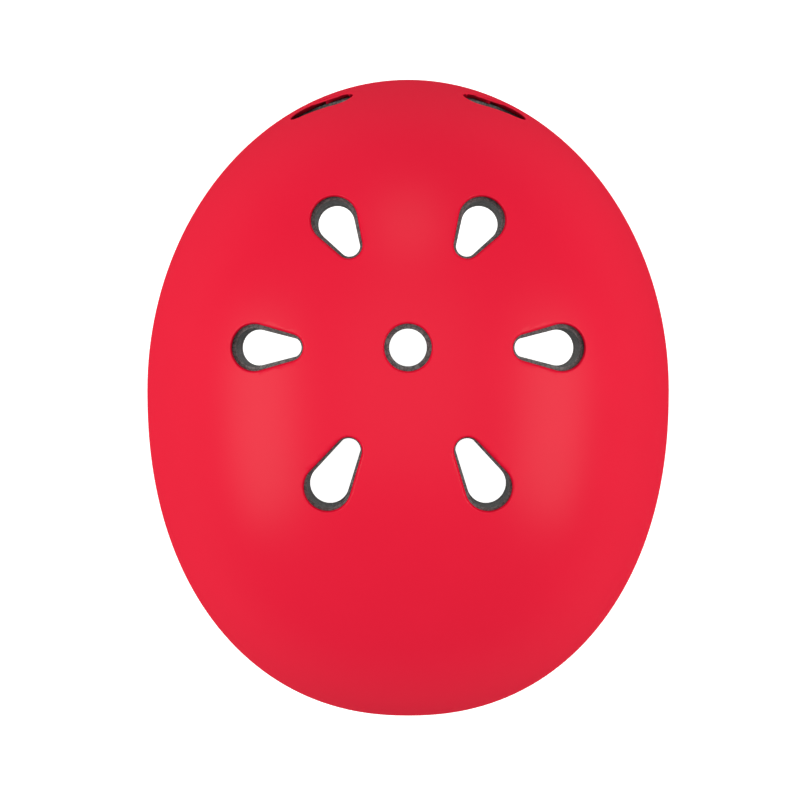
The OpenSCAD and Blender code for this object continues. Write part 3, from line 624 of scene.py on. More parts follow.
def lengths_along(curve, low, high, steps):
    """How far each step lies along a stretch of a curve."""
    points = [curve_point(curve, low + (high - low) * k / steps) for k in range(steps + 1)]
    reached = [0]
    for a, b in zip(points, points[1:]):
        reached.append(reached[-1] + (b - a).length)
    return reached


def new_webbing(curve, low=0, high=1, across=None, drop=0):
    """Flat webbing along a curve, measured out so that its weave stays even."""
    steps = 200
    reached = lengths_along(curve, low, high, steps)
    length = reached[-1]

    def place(share):
        k = 0
        while k < steps - 1 and reached[k + 1] < share * length:
            k += 1
        part = (share * length - reached[k]) / (reached[k + 1] - reached[k])
        u = low + (high - low) * (k + part) / steps
        way = curve_heading(curve, u)
        side = across or Vector((1, 0, 0)).cross(way).normalized()
        face = side.cross(way).normalized()
        return (curve_point(curve, u) - drop * face) * MM, side, face

    strip = new_strip(length, WEB_W, WEB_T, round(length / STRIP_CELL))
    lay_strip(strip, length, place)
    smooth(strip, 50)
    return strip


def side_strap_curve(end):
    """From an anchor in the foam's rim, along the anchor's lean, to the front or the rear of the divider."""
    place, y = ANCHOR_PLACES[end]
    z = rim_z(y * MM)
    x = (wall_x(FOAM_OUT, y * MM, z) + wall_x(FOAM_IN, y * MM, z)) / 2 / MM
    start = Vector((x, y, z / MM))
    down = Vector((0, -place * sin(ANCHOR_LEAN), -cos(ANCHOR_LEAN)))
    guide = Vector((start.x - 2, start.y, start.z)) + 17 * down
    return [start - 0.7 * down, guide, Vector((DIVIDER.x, DIVIDER.y + place * 8, DIVIDER.z + 6))]


def new_stitch():
    """One stitch of thread, at the origin along X."""
    stitch = new_block((2.1, 0.5, 0.5), (0, 0, 0))
    open_piece(stitch, "SELECT")
    bpy.ops.mesh.bevel(offset=0.16 * MM, segments=2, affect="EDGES")
    close_piece()
    return stitch


def sew(name, body, spots):
    """Rows of stitches; each spot is a middle, the way of the thread and the way out of the cloth."""
    first = new_stitch()
    rows = []
    for middle, way, face in spots:
        turn = axes(way, face.cross(way), face).to_4x4()
        stitch = new_object("stitch", first.data.copy())
        stitch.data.transform(Matrix.Translation(middle) @ turn)
        rows.append(stitch)
    bpy.data.objects.remove(first)
    seam = join_into(*rows)
    smooth(seam)
    finished(seam, name, body, "sewing_thread")


def hem_stitches(curve, places):
    """Places of the stitches across both faces of a strap's hem."""
    spots = []
    for drop in (WEB_T / 2, -WEB_T / 2):
        for u in places:
            face = curve_face(curve, u)
            for k in range(-2, 3):
                middle = curve_point(curve, u) + BACKWARDS * (2.7 * k) - face * drop
                spots.append((middle * MM, BACKWARDS, face))
    return spots


def make_straps():
    for end in ANCHOR_PLACES:
        curve = side_strap_curve(end)
        for hand, path in (("left", curve), ("right", other_side(curve))):
            strap = new_webbing(path)
            finished(strap, f"webbing_{end}_{hand}", "helmet", "webbing", f"strap_{end}_{hand}")
    chin_left = new_webbing(CHIN_CURVE, across=BACKWARDS)
    finished(chin_left, "chin_webbing_left", "helmet", "webbing", "chin_strap_left")
    curve = other_side(CHIN_CURVE)
    chin_right = new_webbing(curve, across=BACKWARDS)
    finished(chin_right, "chin_webbing_right", None, "webbing", "chin_strap_right")
    tail = new_webbing(curve, 0.3, 0.99, BACKWARDS, -TAIL_DROP)
    finished(tail, "loose_tail", None, "webbing", "strap_tail")
    sew("strap_stitches", "helmet", hem_stitches(CHIN_CURVE, (0.2, 0.32)))
    # Between the keeper and the plug the real strap gives way; here the right chin strap and its tail only
    # have their places baked into their meshes
    for piece in (chin_right, tail):
        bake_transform(piece)


def make_keeper():
    """Rubber loop round chin strap and tail, roomy enough to follow the bend of the strap."""
    curve = other_side(CHIN_CURVE)
    way, face = curve_heading(curve, KEEPER_AT), curve_face(curve, KEEPER_AT)
    middle = curve_point(curve, KEEPER_AT) + face * (TAIL_DROP / 2)
    loop = rounded_block((9.3, WEB_W + 5, 4.2), (0, 0, 0), 2, 2.4, 0.6)
    cut_away(loop, rounded_block((7.3, WEB_W + 1.8, 10), (0, 0, 0), 2, 0.8, 0))
    move_by(loop, Matrix.Translation(middle * MM) @ axes(face, BACKWARDS, way).to_4x4())
    smooth(loop, 40)
    finished(loop, "keeper_loop", "keeper", "black_rubber", "strap_keeper")


# Rim trim and head ring, in millimetres

RING_LOW = -8
RING_HEIGHT = 14
RING_MID = RING_LOW + RING_HEIGHT / 2
RING_WALL = 1.8
# Gap between the ring and the foam, and the clearance between pieces that lie beside each other
RING_GAP = 0.8
CLEARANCE = 0.3
PIVOT_AHEAD = 20
EYE_R = 6


def make_edge_trim():
    """Soft rubber pushed over the rim: a lip on the shell, a flat foot under the foam."""
    lip = [(-0.55, 1.2), (-0.62, 0.4), (-0.62, -1.6), (-0.2, -2.6), (0.8, -3.2)]
    foot = [(3.2, -3.35), (5.2, -3.2), (6.1, -2.6), (6.4, -1.6), (6.35, -0.3), (5.8, 0.15), (3, 0.2)]
    inside = [(0.4, 0.2), (0.25, 0.9), (-0.1, 1.45)]
    profile = lip + foot + inside
    sides = len(profile)
    bpy.ops.mesh.primitive_torus_add(
        major_segments=DOME_COLUMNS, minor_segments=sides, major_radius=1, minor_radius=0.2
    )
    trim = bpy.context.object

    def place(p):
        turn = atan2(p.y, p.x)
        k = round(atan2(p.z, hypot(p.x, p.y) - 1) / (2 * pi) * sides) % sides
        deep, high = profile[k]
        dome = [x - deep * MM for x in SHELL_OUT]
        return dome_point(dome, turn, rim_rise(dome, turn)) + Vector((0, 0, high * MM))

    reshape(trim, place)
    open_piece(trim, "SELECT")
    bpy.ops.mesh.normals_make_consistent(inside=False)
    close_piece()
    apply_modifier(trim, "SUBSURF", levels=1, render_levels=1)
    smooth(trim)
    finished(trim, "rim_trim", "helmet", "black_rubber", "edge_trim")


def ring_dome(deep):
    """The surface that lies a little inside the foam."""
    return [x - deep * MM for x in FOAM_IN]


def eye_out():
    """How far out the head ring's eyes lie."""
    return wall_x(FOAM_IN, (-PIVOT_AHEAD - EYE_R) * MM, -EYE_R * MM) / MM - 0.6


def new_eye(x):
    """A round eye on a temple pin, seen from the side."""
    bpy.ops.mesh.primitive_cylinder_add(
        vertices=64,
        radius=EYE_R * MM,
        depth=RING_WALL * MM,
        location=(x * MM, -PIVOT_AHEAD * MM, RING_MID * MM),
        rotation=(0, pi / 2, 0),
    )
    eye = settled()
    ease_edges(eye, 0.5, 30)
    return eye


def make_head_ring():
    """A springy band round the brow, from one temple to the other."""
    middle = ring_dome(RING_GAP + RING_WALL / 2)
    temple = asin(((PIVOT_AHEAD * MM - WIDEST_AHEAD) / middle[1]) ** (FRONT_POWER / 2))
    length = 2.6 * middle[1] / MM
    band = new_strip(length, RING_HEIGHT, RING_WALL, 120)

    def place(share):
        turn = pi + temple + share * (pi - 2 * temple)
        p = dome_point(middle, turn, 0)
        out = Vector((p.x / middle[0] ** 2, (p.y + WIDEST_AHEAD) / middle[1] ** 2, 0)).normalized()
        return Vector((p.x, p.y, RING_MID * MM)), UP, out

    lay_strip(band, length, place)
    join_into(band, *[new_eye(side * (eye_out() - RING_WALL / 2)) for side in (-1, 1)])
    smooth(band, 50)
    finished(band, "brow_band", "helmet", "black_plastic", "head_ring")


# Cradle: side arms, housing and dial, in the dial's own frame with +Y out along its axis, in millimetres

DIAL_BEHIND = 88
DIAL_DROP = 62
DIAL_LEAN = radians(12)
DIAL = Matrix.Translation(Vector((0, DIAL_BEHIND, -DIAL_DROP)) * MM) @ Matrix.Rotation(-DIAL_LEAN, 4, "X")
HOUSING_W = 46
HOUSING_HALF_H = 12
CHANNEL_HALF = 1.3
PLATE_T = 2.3
COVER_LOW = 1.35
COVER_TOP = COVER_LOW + PLATE_T
KNOB_R = 15
KNOB_LOW = COVER_TOP + 0.9
KNOB_TOP = KNOB_LOW + 10.5
KNOB_GRIPS = 14
GRIP_R = 3
GRIP_AT = KNOB_R + 2
PINION_R = 4
# The knob's two sides, step by step from the edge inwards: how far in, and how far out or down
KNOB_FACE = ((2.2, 0), (0.7, -0.7), (7.9, 0), (0.5, 0.5), (0.6, 0), (0.1, -2.4))
KNOB_BACK = ((2.8, 0), (0.1, -6.9))
# Where a rack's tab ends: half a turn of the pinion beyond the housing, and the tab's own length
RACK_END = HOUSING_W / 2 + PINION_R * pi + 4.5
ARM_HEIGHT = 10


def arm_point(bend):
    """Middle line of the left side arm, from the temple round to its rack."""
    near = RACK_END + CLEARANCE
    far = eye_out() - RING_WALL - CLEARANCE - RING_WALL / 2
    return Vector((
        near + (far - near) * cos(bend),
        (DIAL_BEHIND + PIVOT_AHEAD) * sin(bend) - PIVOT_AHEAD,
        RING_MID - (DIAL_DROP + RING_MID) * sin(bend),
    ))


def rack_holder(side):
    """The arm's end, moulded round the tab of its rack; the other rack's tip passes beside it."""
    holder = rounded_block((6.8, 4.6, 12.6), (RACK_END - 0.8, 0, 3.5 * side), 1, 1.6, 0.5)
    combine(holder, rounded_block((3.2, 4.4, 11), (RACK_END + 1.2, 0, 0), 1, 1, 0.5), "UNION")
    move_by(holder, DIAL)
    return holder


def make_side_arm(side):
    """An arm of the cradle, from its eye at the temple round to the holder of its rack."""
    hand = "left" if side > 0 else "right"
    length = 150
    arm = new_strip(length, ARM_HEIGHT, RING_WALL, 90)

    def place(share):
        bend = radians(1 + 89 * share)
        way = arm_point(bend + 0.01) - arm_point(bend - 0.01)
        out = Vector((way.y, -way.x, 0)).normalized()
        lean = DIAL_LEAN * sin(bend)
        up = cos(lean) * UP + sin(lean) * out
        flat = cos(lean) * out - sin(lean) * UP
        return arm_point(bend) * MM, up, flat

    lay_strip(arm, length, place)
    join_into(arm, new_eye(eye_out() - 1.5 * RING_WALL - CLEARANCE), rack_holder(side))
    if side < 0:
        mirror_across(arm)
    smooth(arm, 50)
    finished(arm, f"cradle_arm_{hand}", None, "black_plastic", f"side_arm_{hand}")
    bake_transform(arm)


def housing_half(low, high):
    """A plate with round corners and a round seat behind the knob."""
    plate = rounded_block((HOUSING_W, high - low, 2 * HOUSING_HALF_H), (0, (low + high) / 2, 0), 1, 8, 0)
    combine(plate, new_round(KNOB_R + 1, low, high), "UNION")
    ease_edges(plate, 0.6)
    # Marks the plate's sharp edges before anything is cut into it
    smooth(plate, 40)
    return plate


def make_housing():
    """The dial's housing: a cover with a sunk seat for each screw, and a back with the channel's walls."""
    cover = housing_half(COVER_LOW, COVER_TOP)
    for side in (-1, 1):
        cut_away(cover, new_round(2.7, COVER_TOP - 0.3, COVER_TOP + 1, (side * (HOUSING_W / 2 - 5), 0), 48))
    back = housing_half(-CHANNEL_HALF - PLATE_T, -CHANNEL_HALF)
    wall = (HOUSING_W - 14, 2 * CHANNEL_HALF + 0.3, 2.6)
    join_into(back, *[new_block(wall, (0, 0, side * (HOUSING_HALF_H - 1.3))) for side in (-1, 1)])
    for half, name, where in ((cover, "dial_cover", "outer"), (back, "dial_back_plate", "inner")):
        move_by(half, DIAL)
        smooth(half, 40)
        finished(half, name, "cradle", "black_plastic", f"dial_housing_{where}")


def make_dial_knob():
    """A hollow cap: its side is scalloped for the fingers and its face is dished round the screw."""
    knob = new_round(KNOB_R, KNOB_LOW, KNOB_TOP, vertices=KNOB_GRIPS * 14)
    open_piece(knob)
    for facing, steps in ((1, KNOB_FACE), (-1, KNOB_BACK)):
        pick(knob, "faces", lambda f: f.normal.y * facing > 0.9)
        for width, out in steps:
            bpy.ops.mesh.inset(thickness=width * MM, depth=out * MM)
    close_piece()

    def place(p):
        r = hypot(p.x, p.z) / MM
        if r < KNOB_R - 0.3:
            return p
        step = 2 * pi / KNOB_GRIPS
        turn = atan2(p.z, p.x)
        off = turn - round(turn / step) * step
        reach = GRIP_AT * sin(off)
        if abs(reach) >= GRIP_R:
            return p
        r_cut = GRIP_AT * cos(off) - sqrt(GRIP_R ** 2 - reach ** 2)
        if r_cut >= r:
            return p
        return Vector((p.x * r_cut / r, p.y, p.z * r_cut / r))

    reshape(knob, place)
    ease_edges(knob, 0.5)
    move_by(knob, DIAL)
    smooth(knob, 35)
    finished(knob, "dial_grip", "dial", "black_plastic", "dial_knob")


# Dividers, levers and buckle, in millimetres

SOCKET_ENDS = (-4, 22)
PLUG_ENDS = (-22, -4.3)
BUCKLE_W = 20
BUCKLE_T = 9
SOCKET_WALL = 1.9
STRAP_END = 18
STRAP_ROOM = 0.8


def eased_copy(node, edge, degrees=35):
    """A CAD piece with its doubles merged and its edges eased."""
    piece = new_object(node + "_eased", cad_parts[node].data.copy())
    open_piece(piece, "SELECT")
    bpy.ops.mesh.remove_doubles(threshold=0.002 * MM)
    bpy.ops.mesh.customdata_custom_splitnormals_clear()
    bpy.ops.mesh.dissolve_limited(angle_limit=radians(1))
    close_piece()
    ease_edges(piece, edge, degrees)
    smooth(piece, 35)
    return piece


def make_hardware():
    for side in ("left", "right"):
        plate = eased_copy(f"divider_{side}", 0.45)
        finished(plate, f"strap_divider_{side}", "helmet", "black_plastic", f"divider_{side}")
        lever = eased_copy(f"divider_lever_{side}", 0.45)
        finished(lever, f"locking_lever_{side}", f"lever_{side}", "black_plastic", f"divider_lever_{side}")
    prongs = eased_copy("buckle_prongs", 0.4, 25)
    finished(prongs, "plug_prongs", "plug", "black_plastic", "buckle_prongs")


def buckle_half(ends, waist_at):
    """A bar of the buckle: crowned, waisted for the fingers, and thinner where the strap enters."""
    low, high = ends
    half = new_block((high - low, BUCKLE_W, BUCKLE_T), ((low + high) / 2, 0, 0))
    cut_cells(half, (15, 11, 5))

    def place(p):
        y = p.y / (BUCKLE_W / 2 * MM)
        z = p.z / (BUCKLE_T / 2 * MM)
        along = p.x / MM
        waist = 1 - 0.09 * exp(-((along - waist_at) / 4.5) ** 2)
        outer = max(0, abs(along) - 11) / 11
        thin = 1 - 0.22 * outer ** 2
        narrow = 1 - 0.05 * outer ** 2
        round_y = (1 - 0.10 * z ** 4) * (1 - 0.03 * z ** 2)
        round_z = (1 - 0.30 * abs(y) ** 5) * (1 - 0.08 * y ** 2)
        return Vector((p.x, p.y * round_y * waist * narrow, p.z * round_z * thin))

    reshape(half, place)
    return half


def groove_cutters(places, height):
    """Bars that cut finger grooves across the top and the bottom of the buckle."""
    return join_into(*[new_block((1, 11, 1.2), (x, 0, side * height)) for x in places for side in (-1, 1)])


def strap_slot(side, thick, drop=0):
    """The room for a strap at one end of the buckle."""
    size = (20, WEB_W + STRAP_ROOM, thick + STRAP_ROOM)
    return new_block(size, (side * (STRAP_END + 8), 0, -drop))


def finish_buckle_half(half, name, body, node):
    move_by(half, Matrix.Translation(BUCKLE * MM))
    smooth(half, 40)
    finished(half, name, body, "black_plastic", node)


def make_buckle():
    """Side-release buckle: the prongs show in the socket's two side windows."""
    socket = buckle_half(SOCKET_ENDS, 5.5)
    low, high = SOCKET_ENDS[0] - 1, 11
    room = (high - low, BUCKLE_W - 2 * SOCKET_WALL - 1.2, BUCKLE_T - 2 * SOCKET_WALL)
    cut_away(
        socket,
        new_block(room, ((high + low) / 2, 0, 0)),
        rounded_block((8.6, 2 * BUCKLE_W, 4.6), (5.7, 0, 0), 1, 1.2, 0),
        strap_slot(1, WEB_T),
        groove_cutters((13, 15, 17), 4.15),
    )
    ease_edges(socket, 0.25, 45, 2)
    finish_buckle_half(socket, "socket_body", "helmet", "buckle_socket")

    plug = buckle_half(PLUG_ENDS, -8)
    cut_away(
        plug,
        strap_slot(-1, WEB_T + TAIL_DROP, TAIL_DROP / 2),
        rounded_block((4.2, WEB_W - 2, 6), (-17.4, 0, 3.6), 2, 1.2, 0),
        groove_cutters((-9, -11, -13), 4.25),
    )
    ease_edges(plug, 0.25, 45, 2)
    join_into(plug, rounded_block((14.5, 3.6, 3.2), (PLUG_ENDS[1] + 6.5, 0, 0), 1, 1, 0.3))
    finish_buckle_half(plug, "plug_body", "plug", "buckle_plug")


# Pads and chin sleeve, in millimetres

PAD_THICK = 7
PAD_BACK = 1.45
PAD_CELL = 2.2
PAD_SWELL = 1.2
WELD_W = 1.8
WELD_T = 1.1
CHANNEL_W = 1.6
# How far a pad's steep side reaches in from its weld before it is at its full height
SHOULDER_W = 7
BROW_PAD_TOP = 18.5
BROW_PAD_LENGTH = 136
BROW_PAD_SWEEP = 84
CROWN_PAD_W = 24
# The two crown pads: where they start and end, and where their sewn channels lie
CROWN_PADS = {"front": (-71.5, -42.45, (0.5,)), "rear": (1.45, 59, (0.33, 0.67))}
SLEEVE_ENDS = (0.52, 0.88)
SLEEVE_W = 24
SLEEVE_T = 8.6
# How far the sleeve reaches from the strap's middle on the side away from the chin
SLEEVE_OUTSIDE = 3


def rounded_outline(u, v):
    """Draws the sides of a square in between its corners, and the corners in to a round."""
    across, along = 2 * v - 1, 2 * u - 1
    pull_u = 0.04 * (1 - across ** 2) + 0.13 * across ** 6
    pull_v = 0.06 * (1 - along ** 2) + 0.16 * along ** 6
    return 0.5 + along / 2 * (1 - pull_u), 0.5 + across / 2 * (1 - pull_v)


def edge_distance(u, v, size):
    """How far a place on a pad lies from the pad's nearest side."""
    return min(u * size[0], (1 - u) * size[0], v * size[1], (1 - v) * size[1])


def pad_height(u, v, size, thick, channels):
    """Height of a pad over its seat: a flat welded edge, a steep side, a soft crown and sewn channels."""
    rise = min(1, max(0, (edge_distance(u, v, size) - WELD_W) / SHOULDER_W))
    height = WELD_T + (thick - WELD_T) * sqrt(1 - (1 - rise) ** 2)
    for c in channels:
        off = abs(u - c) * size[0] / CHANNEL_W
        height -= (height - WELD_T) * 0.7 * exp(-off * off)
    return height


def swell(pad, held, cap):
    """Fills a pad: cloth under pressure, pinned where it is held, and no point moves further than the cap."""
    frames = 20
    start = [v.co.copy() for v in pad.data.vertices]
    group = pad.vertex_groups.new(name="held")
    group.add([v.index for v in pad.data.vertices if held(v.index)], 1, "REPLACE")
    cloth = pad.modifiers.new("cloth", "CLOTH")
    cloth.settings.use_pressure = True
    cloth.settings.uniform_pressure_force = 4
    cloth.settings.effector_weights.gravity = 0
    cloth.settings.vertex_group_mass = "held"
    cloth.point_cache.frame_end = frames
    scene = bpy.context.scene
    for number in range(1, frames + 1):
        scene.frame_set(number)
    bpy.context.view_layer.objects.active = pad
    bpy.ops.object.modifier_apply(modifier=cloth.name)
    scene.frame_set(1)
    for v, first in zip(pad.data.vertices, start):
        moved = v.co - first
        if moved.length > cap:
            v.co = first + moved * (cap / moved.length)
    pad.vertex_groups.clear()


def new_pad(size, seat, thick=PAD_THICK, channels=(), two_sided=False):
    """A sewn pad, by its length and width; seat gives a point under it and the way it swells."""
    bpy.ops.mesh.primitive_cube_add(size=1, location=(0.5, 0.5, 0.5))
    pad = settled()
    cut_cells(pad, (round(size[0] / PAD_CELL) - 1, round(size[1] / PAD_CELL) - 1, 2))
    spots = [v.co.copy() for v in pad.data.vertices]

    def place(p):
        base, into = seat(*rounded_outline(p.x, p.y))
        height = pad_height(p.x, p.y, size, thick, channels)
        if two_sided:
            return base + into * (thick / 2 + (p.z - 0.5) * height) * MM
        return base + into * height * p.z * MM

    def held(index):
        spot = spots[index]
        sewn = any(abs(spot.x - c) * size[0] < CHANNEL_W for c in channels)
        return edge_distance(spot.x, spot.y, size) < WELD_W or sewn or (spot.z < 0.01 and not two_sided)

    reshape(pad, place)
    swell(pad, held, PAD_SWELL * MM)
    apply_modifier(pad, "SUBSURF", levels=1, render_levels=1)
    smooth(pad)
    return pad


def dome_seat(dome, lift, spot):
    """A pad's seat on a dome; spot gives the place on the dome."""
    def seat(u, v):
        p = spot(u, v)
        into = inward(dome, p)
        return p + into * lift * MM, into
    return seat


def make_brow_pad():
    on_ring = ring_dome(RING_GAP + RING_WALL + CLEARANCE)
    low = RING_LOW + 0.5
    height = BROW_PAD_TOP - low

    def spot(u, v):
        z = (low + height * v) * MM
        turn = radians(270 + BROW_PAD_SWEEP * (u - 0.5))
        return dome_point(on_ring, turn, asin(z / half_height(on_ring, z)))

    pad = new_pad((BROW_PAD_LENGTH, height), dome_seat(on_ring, 0, spot), channels=(0.2, 0.4, 0.6, 0.8))
    finished(pad, "brow_cushion", "helmet", "pad_fabric", "brow_pad")


def make_crown_pads():
    for where, (near, far, channels) in CROWN_PADS.items():
        def spot(u, v):
            x, y = CROWN_PAD_W * (v - 0.5) * MM, (near + (far - near) * u) * MM
            return Vector((x, y, skin_height(FOAM_IN, "top", x, y)))

        pad = new_pad((far - near, CROWN_PAD_W), dome_seat(FOAM_IN, PAD_BACK, spot), channels=channels)
        finished(pad, f"crown_cushion_{where}", "helmet", "pad_fabric", f"crown_pad_{where}")


def make_side_pads():
    def spot(u, v):
        return dome_point(FOAM_IN, radians(6 + 34 * u), radians(27 - 22 * v))

    for side in ("left", "right"):
        pad = new_pad((50, 30), dome_seat(FOAM_IN, PAD_BACK, spot), channels=(0.5,))
        if side == "right":
            mirror_across(pad)
        finished(pad, f"side_cushion_{side}", "helmet", "pad_fabric", f"side_pad_{side}")


def make_cradle_pad():
    length, width = HOUSING_W - 2, 2 * KNOB_R - 4
    back = -(CHANNEL_HALF + PLATE_T + CLEARANCE)

    def seat(u, v):
        return Vector((length * (u - 0.5), back, width * (v - 0.5))) * MM, -BACKWARDS

    pad = new_pad((length, width), seat, channels=(0.33, 0.67))
    move_by(pad, DIAL)
    finished(pad, "cradle_cushion", "cradle", "pad_fabric", "cradle_pad")


def make_chin_sleeve():
    """A soft sleeve sewn round the left chin strap."""
    near, far = SLEEVE_ENDS
    length = lengths_along(CHIN_CURVE, near, far, 36)[-1]

    def seat(u, v):
        share = near + (far - near) * u
        face = curve_face(CHIN_CURVE, share)
        base = curve_point(CHIN_CURVE, share) + BACKWARDS * SLEEVE_W * (v - 0.5) - SLEEVE_OUTSIDE * face
        return base * MM, face

    sleeve = new_pad((length, SLEEVE_W), seat, SLEEVE_T, two_sided=True)
    finished(sleeve, "chin_sleeve", "helmet", "pad_fabric", "chin_pad")

    spots = []
    for edge in (0.09, 0.91):
        for k in range(12):
            u = 0.1 + 0.8 * k / 11
            base, face = seat(u, edge)
            way = curve_heading(CHIN_CURVE, near + (far - near) * u)
            spots.append((base + face * (SLEEVE_T / 2 - 1.6) * MM, way, -face))
    sew("sleeve_stitches", "helmet", spots)


# Finishes


def feed(tree, node, inputs):
    """Fills a node's inputs: another node's output is linked, anything else is set as it is."""
    for key, value in inputs.items():
        if isinstance(value, bpy.types.NodeSocket):
            tree.links.new(value, node.inputs[key])
        else:
            node.inputs[key].default_value = value


def add_node(tree, kind, inputs, output, **settings):
    """Adds a node and gives the output that is asked for."""
    node = tree.nodes.new(kind)
    for key, value in settings.items():
        setattr(node, key, value)
    feed(tree, node, inputs)
    return node.outputs[output]


def new_material(name, colour, roughness):
    """A material with a plain shader: the material, its nodes, its shader and the place on the piece."""
    material = bpy.data.materials.new(name)
    material.use_nodes = True
    tree = material.node_tree
    shader = tree.nodes["Principled BSDF"]
    feed(tree, shader, {"Base Color": (*colour, 1), "Roughness": roughness})
    return material, tree, shader, tree.nodes.new("ShaderNodeTexCoord").outputs["Object"]


def add_noise(tree, vector, scale, detail):
    return add_node(tree, "ShaderNodeTexNoise", {"Vector": vector, "Scale": scale, "Detail": detail}, "Fac")


def add_ramp(tree, value, low, high, colour_low, colour_high):
    """Spreads two colours over a value between two places."""
    colour = add_node(tree, "ShaderNodeValToRGB", {"Fac": value}, "Color")
    ends = colour.node.color_ramp.elements
    for end, place, tint in ((ends[0], low, colour_low), (ends[1], high, colour_high)):
        end.position = place
        end.color = (*tint, 1)
    return colour


def add_range(tree, value, low, high):
    """Spreads a value of 0 to 1 over a range."""
    return add_node(tree, "ShaderNodeMapRange", {"Value": value, "To Min": low, "To Max": high}, "Result")


def add_math(tree, operation, a, b):
    return add_node(tree, "ShaderNodeMath", {0: a, 1: b}, "Value", operation=operation)


def add_darker(tree, colour, shade):
    """One colour multiplied by another."""
    inputs = {"Factor": 1, "A": colour, "B": shade}
    return add_node(tree, "ShaderNodeMix", inputs, "Result", data_type="RGBA", blend_type="MULTIPLY")


def add_wave(tree, vector, period, direction):
    """Even ribs, one in each period, in metres."""
    inputs = {"Vector": vector, "Scale": pi / 10 / period}
    return add_node(tree, "ShaderNodeTexWave", inputs, "Fac", wave_type="BANDS", bands_direction=direction)


def add_bump(tree, shader, height, strength, distance):
    inputs = {"Height": height, "Strength": strength, "Distance": distance}
    feed(tree, shader, {"Normal": add_node(tree, "ShaderNodeBump", inputs, "Normal")})


def red_shell_plastic():
    """Satin moulded plastic: a faint cloudiness in the colour and a fine orange peel."""
    material, tree, shader, place = new_material("shell_red", (0.845, 0.008, 0.0385), 0.39)
    cloud = add_noise(tree, place, 14, 3)
    rough = add_range(tree, cloud, 0.33, 0.39)
    # The sheen lies in a weak coat that stays as even towards the edges as in the photo
    feed(tree, shader, {
        "Base Color": add_ramp(tree, cloud, 0.35, 0.65, (0.83, 0.002, 0.034), (0.855, 0.003, 0.037)),
        "Roughness": rough,
        "Specular IOR Level": 0,
        "Coat Weight": 0.06,
        "Coat Roughness": rough,
        "Coat IOR": 4,
    })
    add_bump(tree, shader, add_noise(tree, place, 900, 2), 0.12, 0.00008)
    return material


def grey_bead_foam():
    """Moulded bead foam: flattened beads with dark seams between them, darkened on the side of the head as
    painted shade for the dark deep in the vents.
    """
    material, tree, shader, place = new_material("liner_foam", (0.11, 0.11, 0.115), 0.62)
    beads = {"Vector": place, "Scale": 640}
    gap = add_node(tree, "ShaderNodeTexVoronoi", beads, "Distance", feature="DISTANCE_TO_EDGE")
    tint = add_node(tree, "ShaderNodeTexVoronoi", beads, "Color")
    seams = add_ramp(tree, gap, 0.0, 0.12, (0.4, 0.4, 0.4), (1, 1, 1))
    colour = add_ramp(tree, tint, 0.0, 1.0, (0.095, 0.096, 0.1), (0.16, 0.16, 0.165))
    depth = add_node(tree, "ShaderNodeAttribute", {}, "Fac", attribute_name="depth")
    # Painted shade: the beads on the head side are darkened nearly to black to stand for the shade deep
    # inside the vents
    painted_shade_near_head = add_ramp(tree, depth, 0.66, 0.7, (1, 1, 1), (0.12, 0.12, 0.13))
    feed(tree, shader, {"Base Color": add_darker(tree, add_darker(tree, colour, seams), painted_shade_near_head)})
    add_bump(tree, shader, seams, 0.6, 0.0003)
    return material


def woven_webbing():
    """Flat woven strap: zigzag rows of yarn across its width, laid by the strap's own map."""
    material, tree, shader, place = new_material("webbing", (0.02, 0.02, 0.023), 0.72)
    rib, row = 0.0019, 0.0012
    strap_map = place.node.outputs["UV"]
    split = tree.nodes.new("ShaderNodeSeparateXYZ")
    feed(tree, split, {"Vector": strap_map})
    slant = add_math(tree, "PINGPONG", split.outputs["Y"], rib)
    along = add_math(tree, "ADD", split.outputs["X"], slant)
    turned = add_node(tree, "ShaderNodeCombineXYZ", {"X": along}, "Vector")
    rows = add_wave(tree, turned, row, "X")
    weave = add_math(tree, "MULTIPLY", rows, add_wave(tree, strap_map, rib, "Y"))
    worn = add_math(tree, "MULTIPLY", weave, add_noise(tree, place, 60, 3))
    colour = add_ramp(tree, worn, 0.0, 0.6, (0.008, 0.008, 0.01), (0.046, 0.046, 0.052))
    feed(tree, shader, {"Base Color": colour, "Sheen Weight": 0.15})
    add_bump(tree, shader, weave, 0.7, 0.00025)
    return material


def knitted_pad_cloth():
    """Brushed knit over foam: small loops in rows, with lint that lightens it here and there."""
    material, tree, shader, place = new_material("pad_fabric", (0.03, 0.03, 0.034), 0.85)
    knit = {"Vector": place, "Scale": 950, "Randomness": 0.35}
    loops = add_node(tree, "ShaderNodeTexVoronoi", knit, "Distance")
    worn = add_math(tree, "MULTIPLY", loops, add_noise(tree, place, 45, 4))
    colour = add_ramp(tree, worn, 0.0, 0.45, (0.052, 0.053, 0.06), (0.016, 0.016, 0.019))
    feed(tree, shader, {"Base Color": colour, "Sheen Weight": 0.3})
    add_bump(tree, shader, loops, 0.5, -0.0003)
    return material


def soft_trim_rubber():
    """Matt moulded rubber with a dusty bloom."""
    material, tree, shader, place = new_material("black_rubber", (0.02, 0.02, 0.021), 0.55)
    bloom = add_noise(tree, place, 35, 4)
    feed(tree, shader, {
        "Base Color": add_ramp(tree, bloom, 0.3, 0.75, (0.016, 0.016, 0.017), (0.034, 0.034, 0.035)),
        "Roughness": add_range(tree, bloom, 0.48, 0.7),
    })
    add_bump(tree, shader, add_noise(tree, place, 2200, 2), 0.25, 0.0001)
    return material


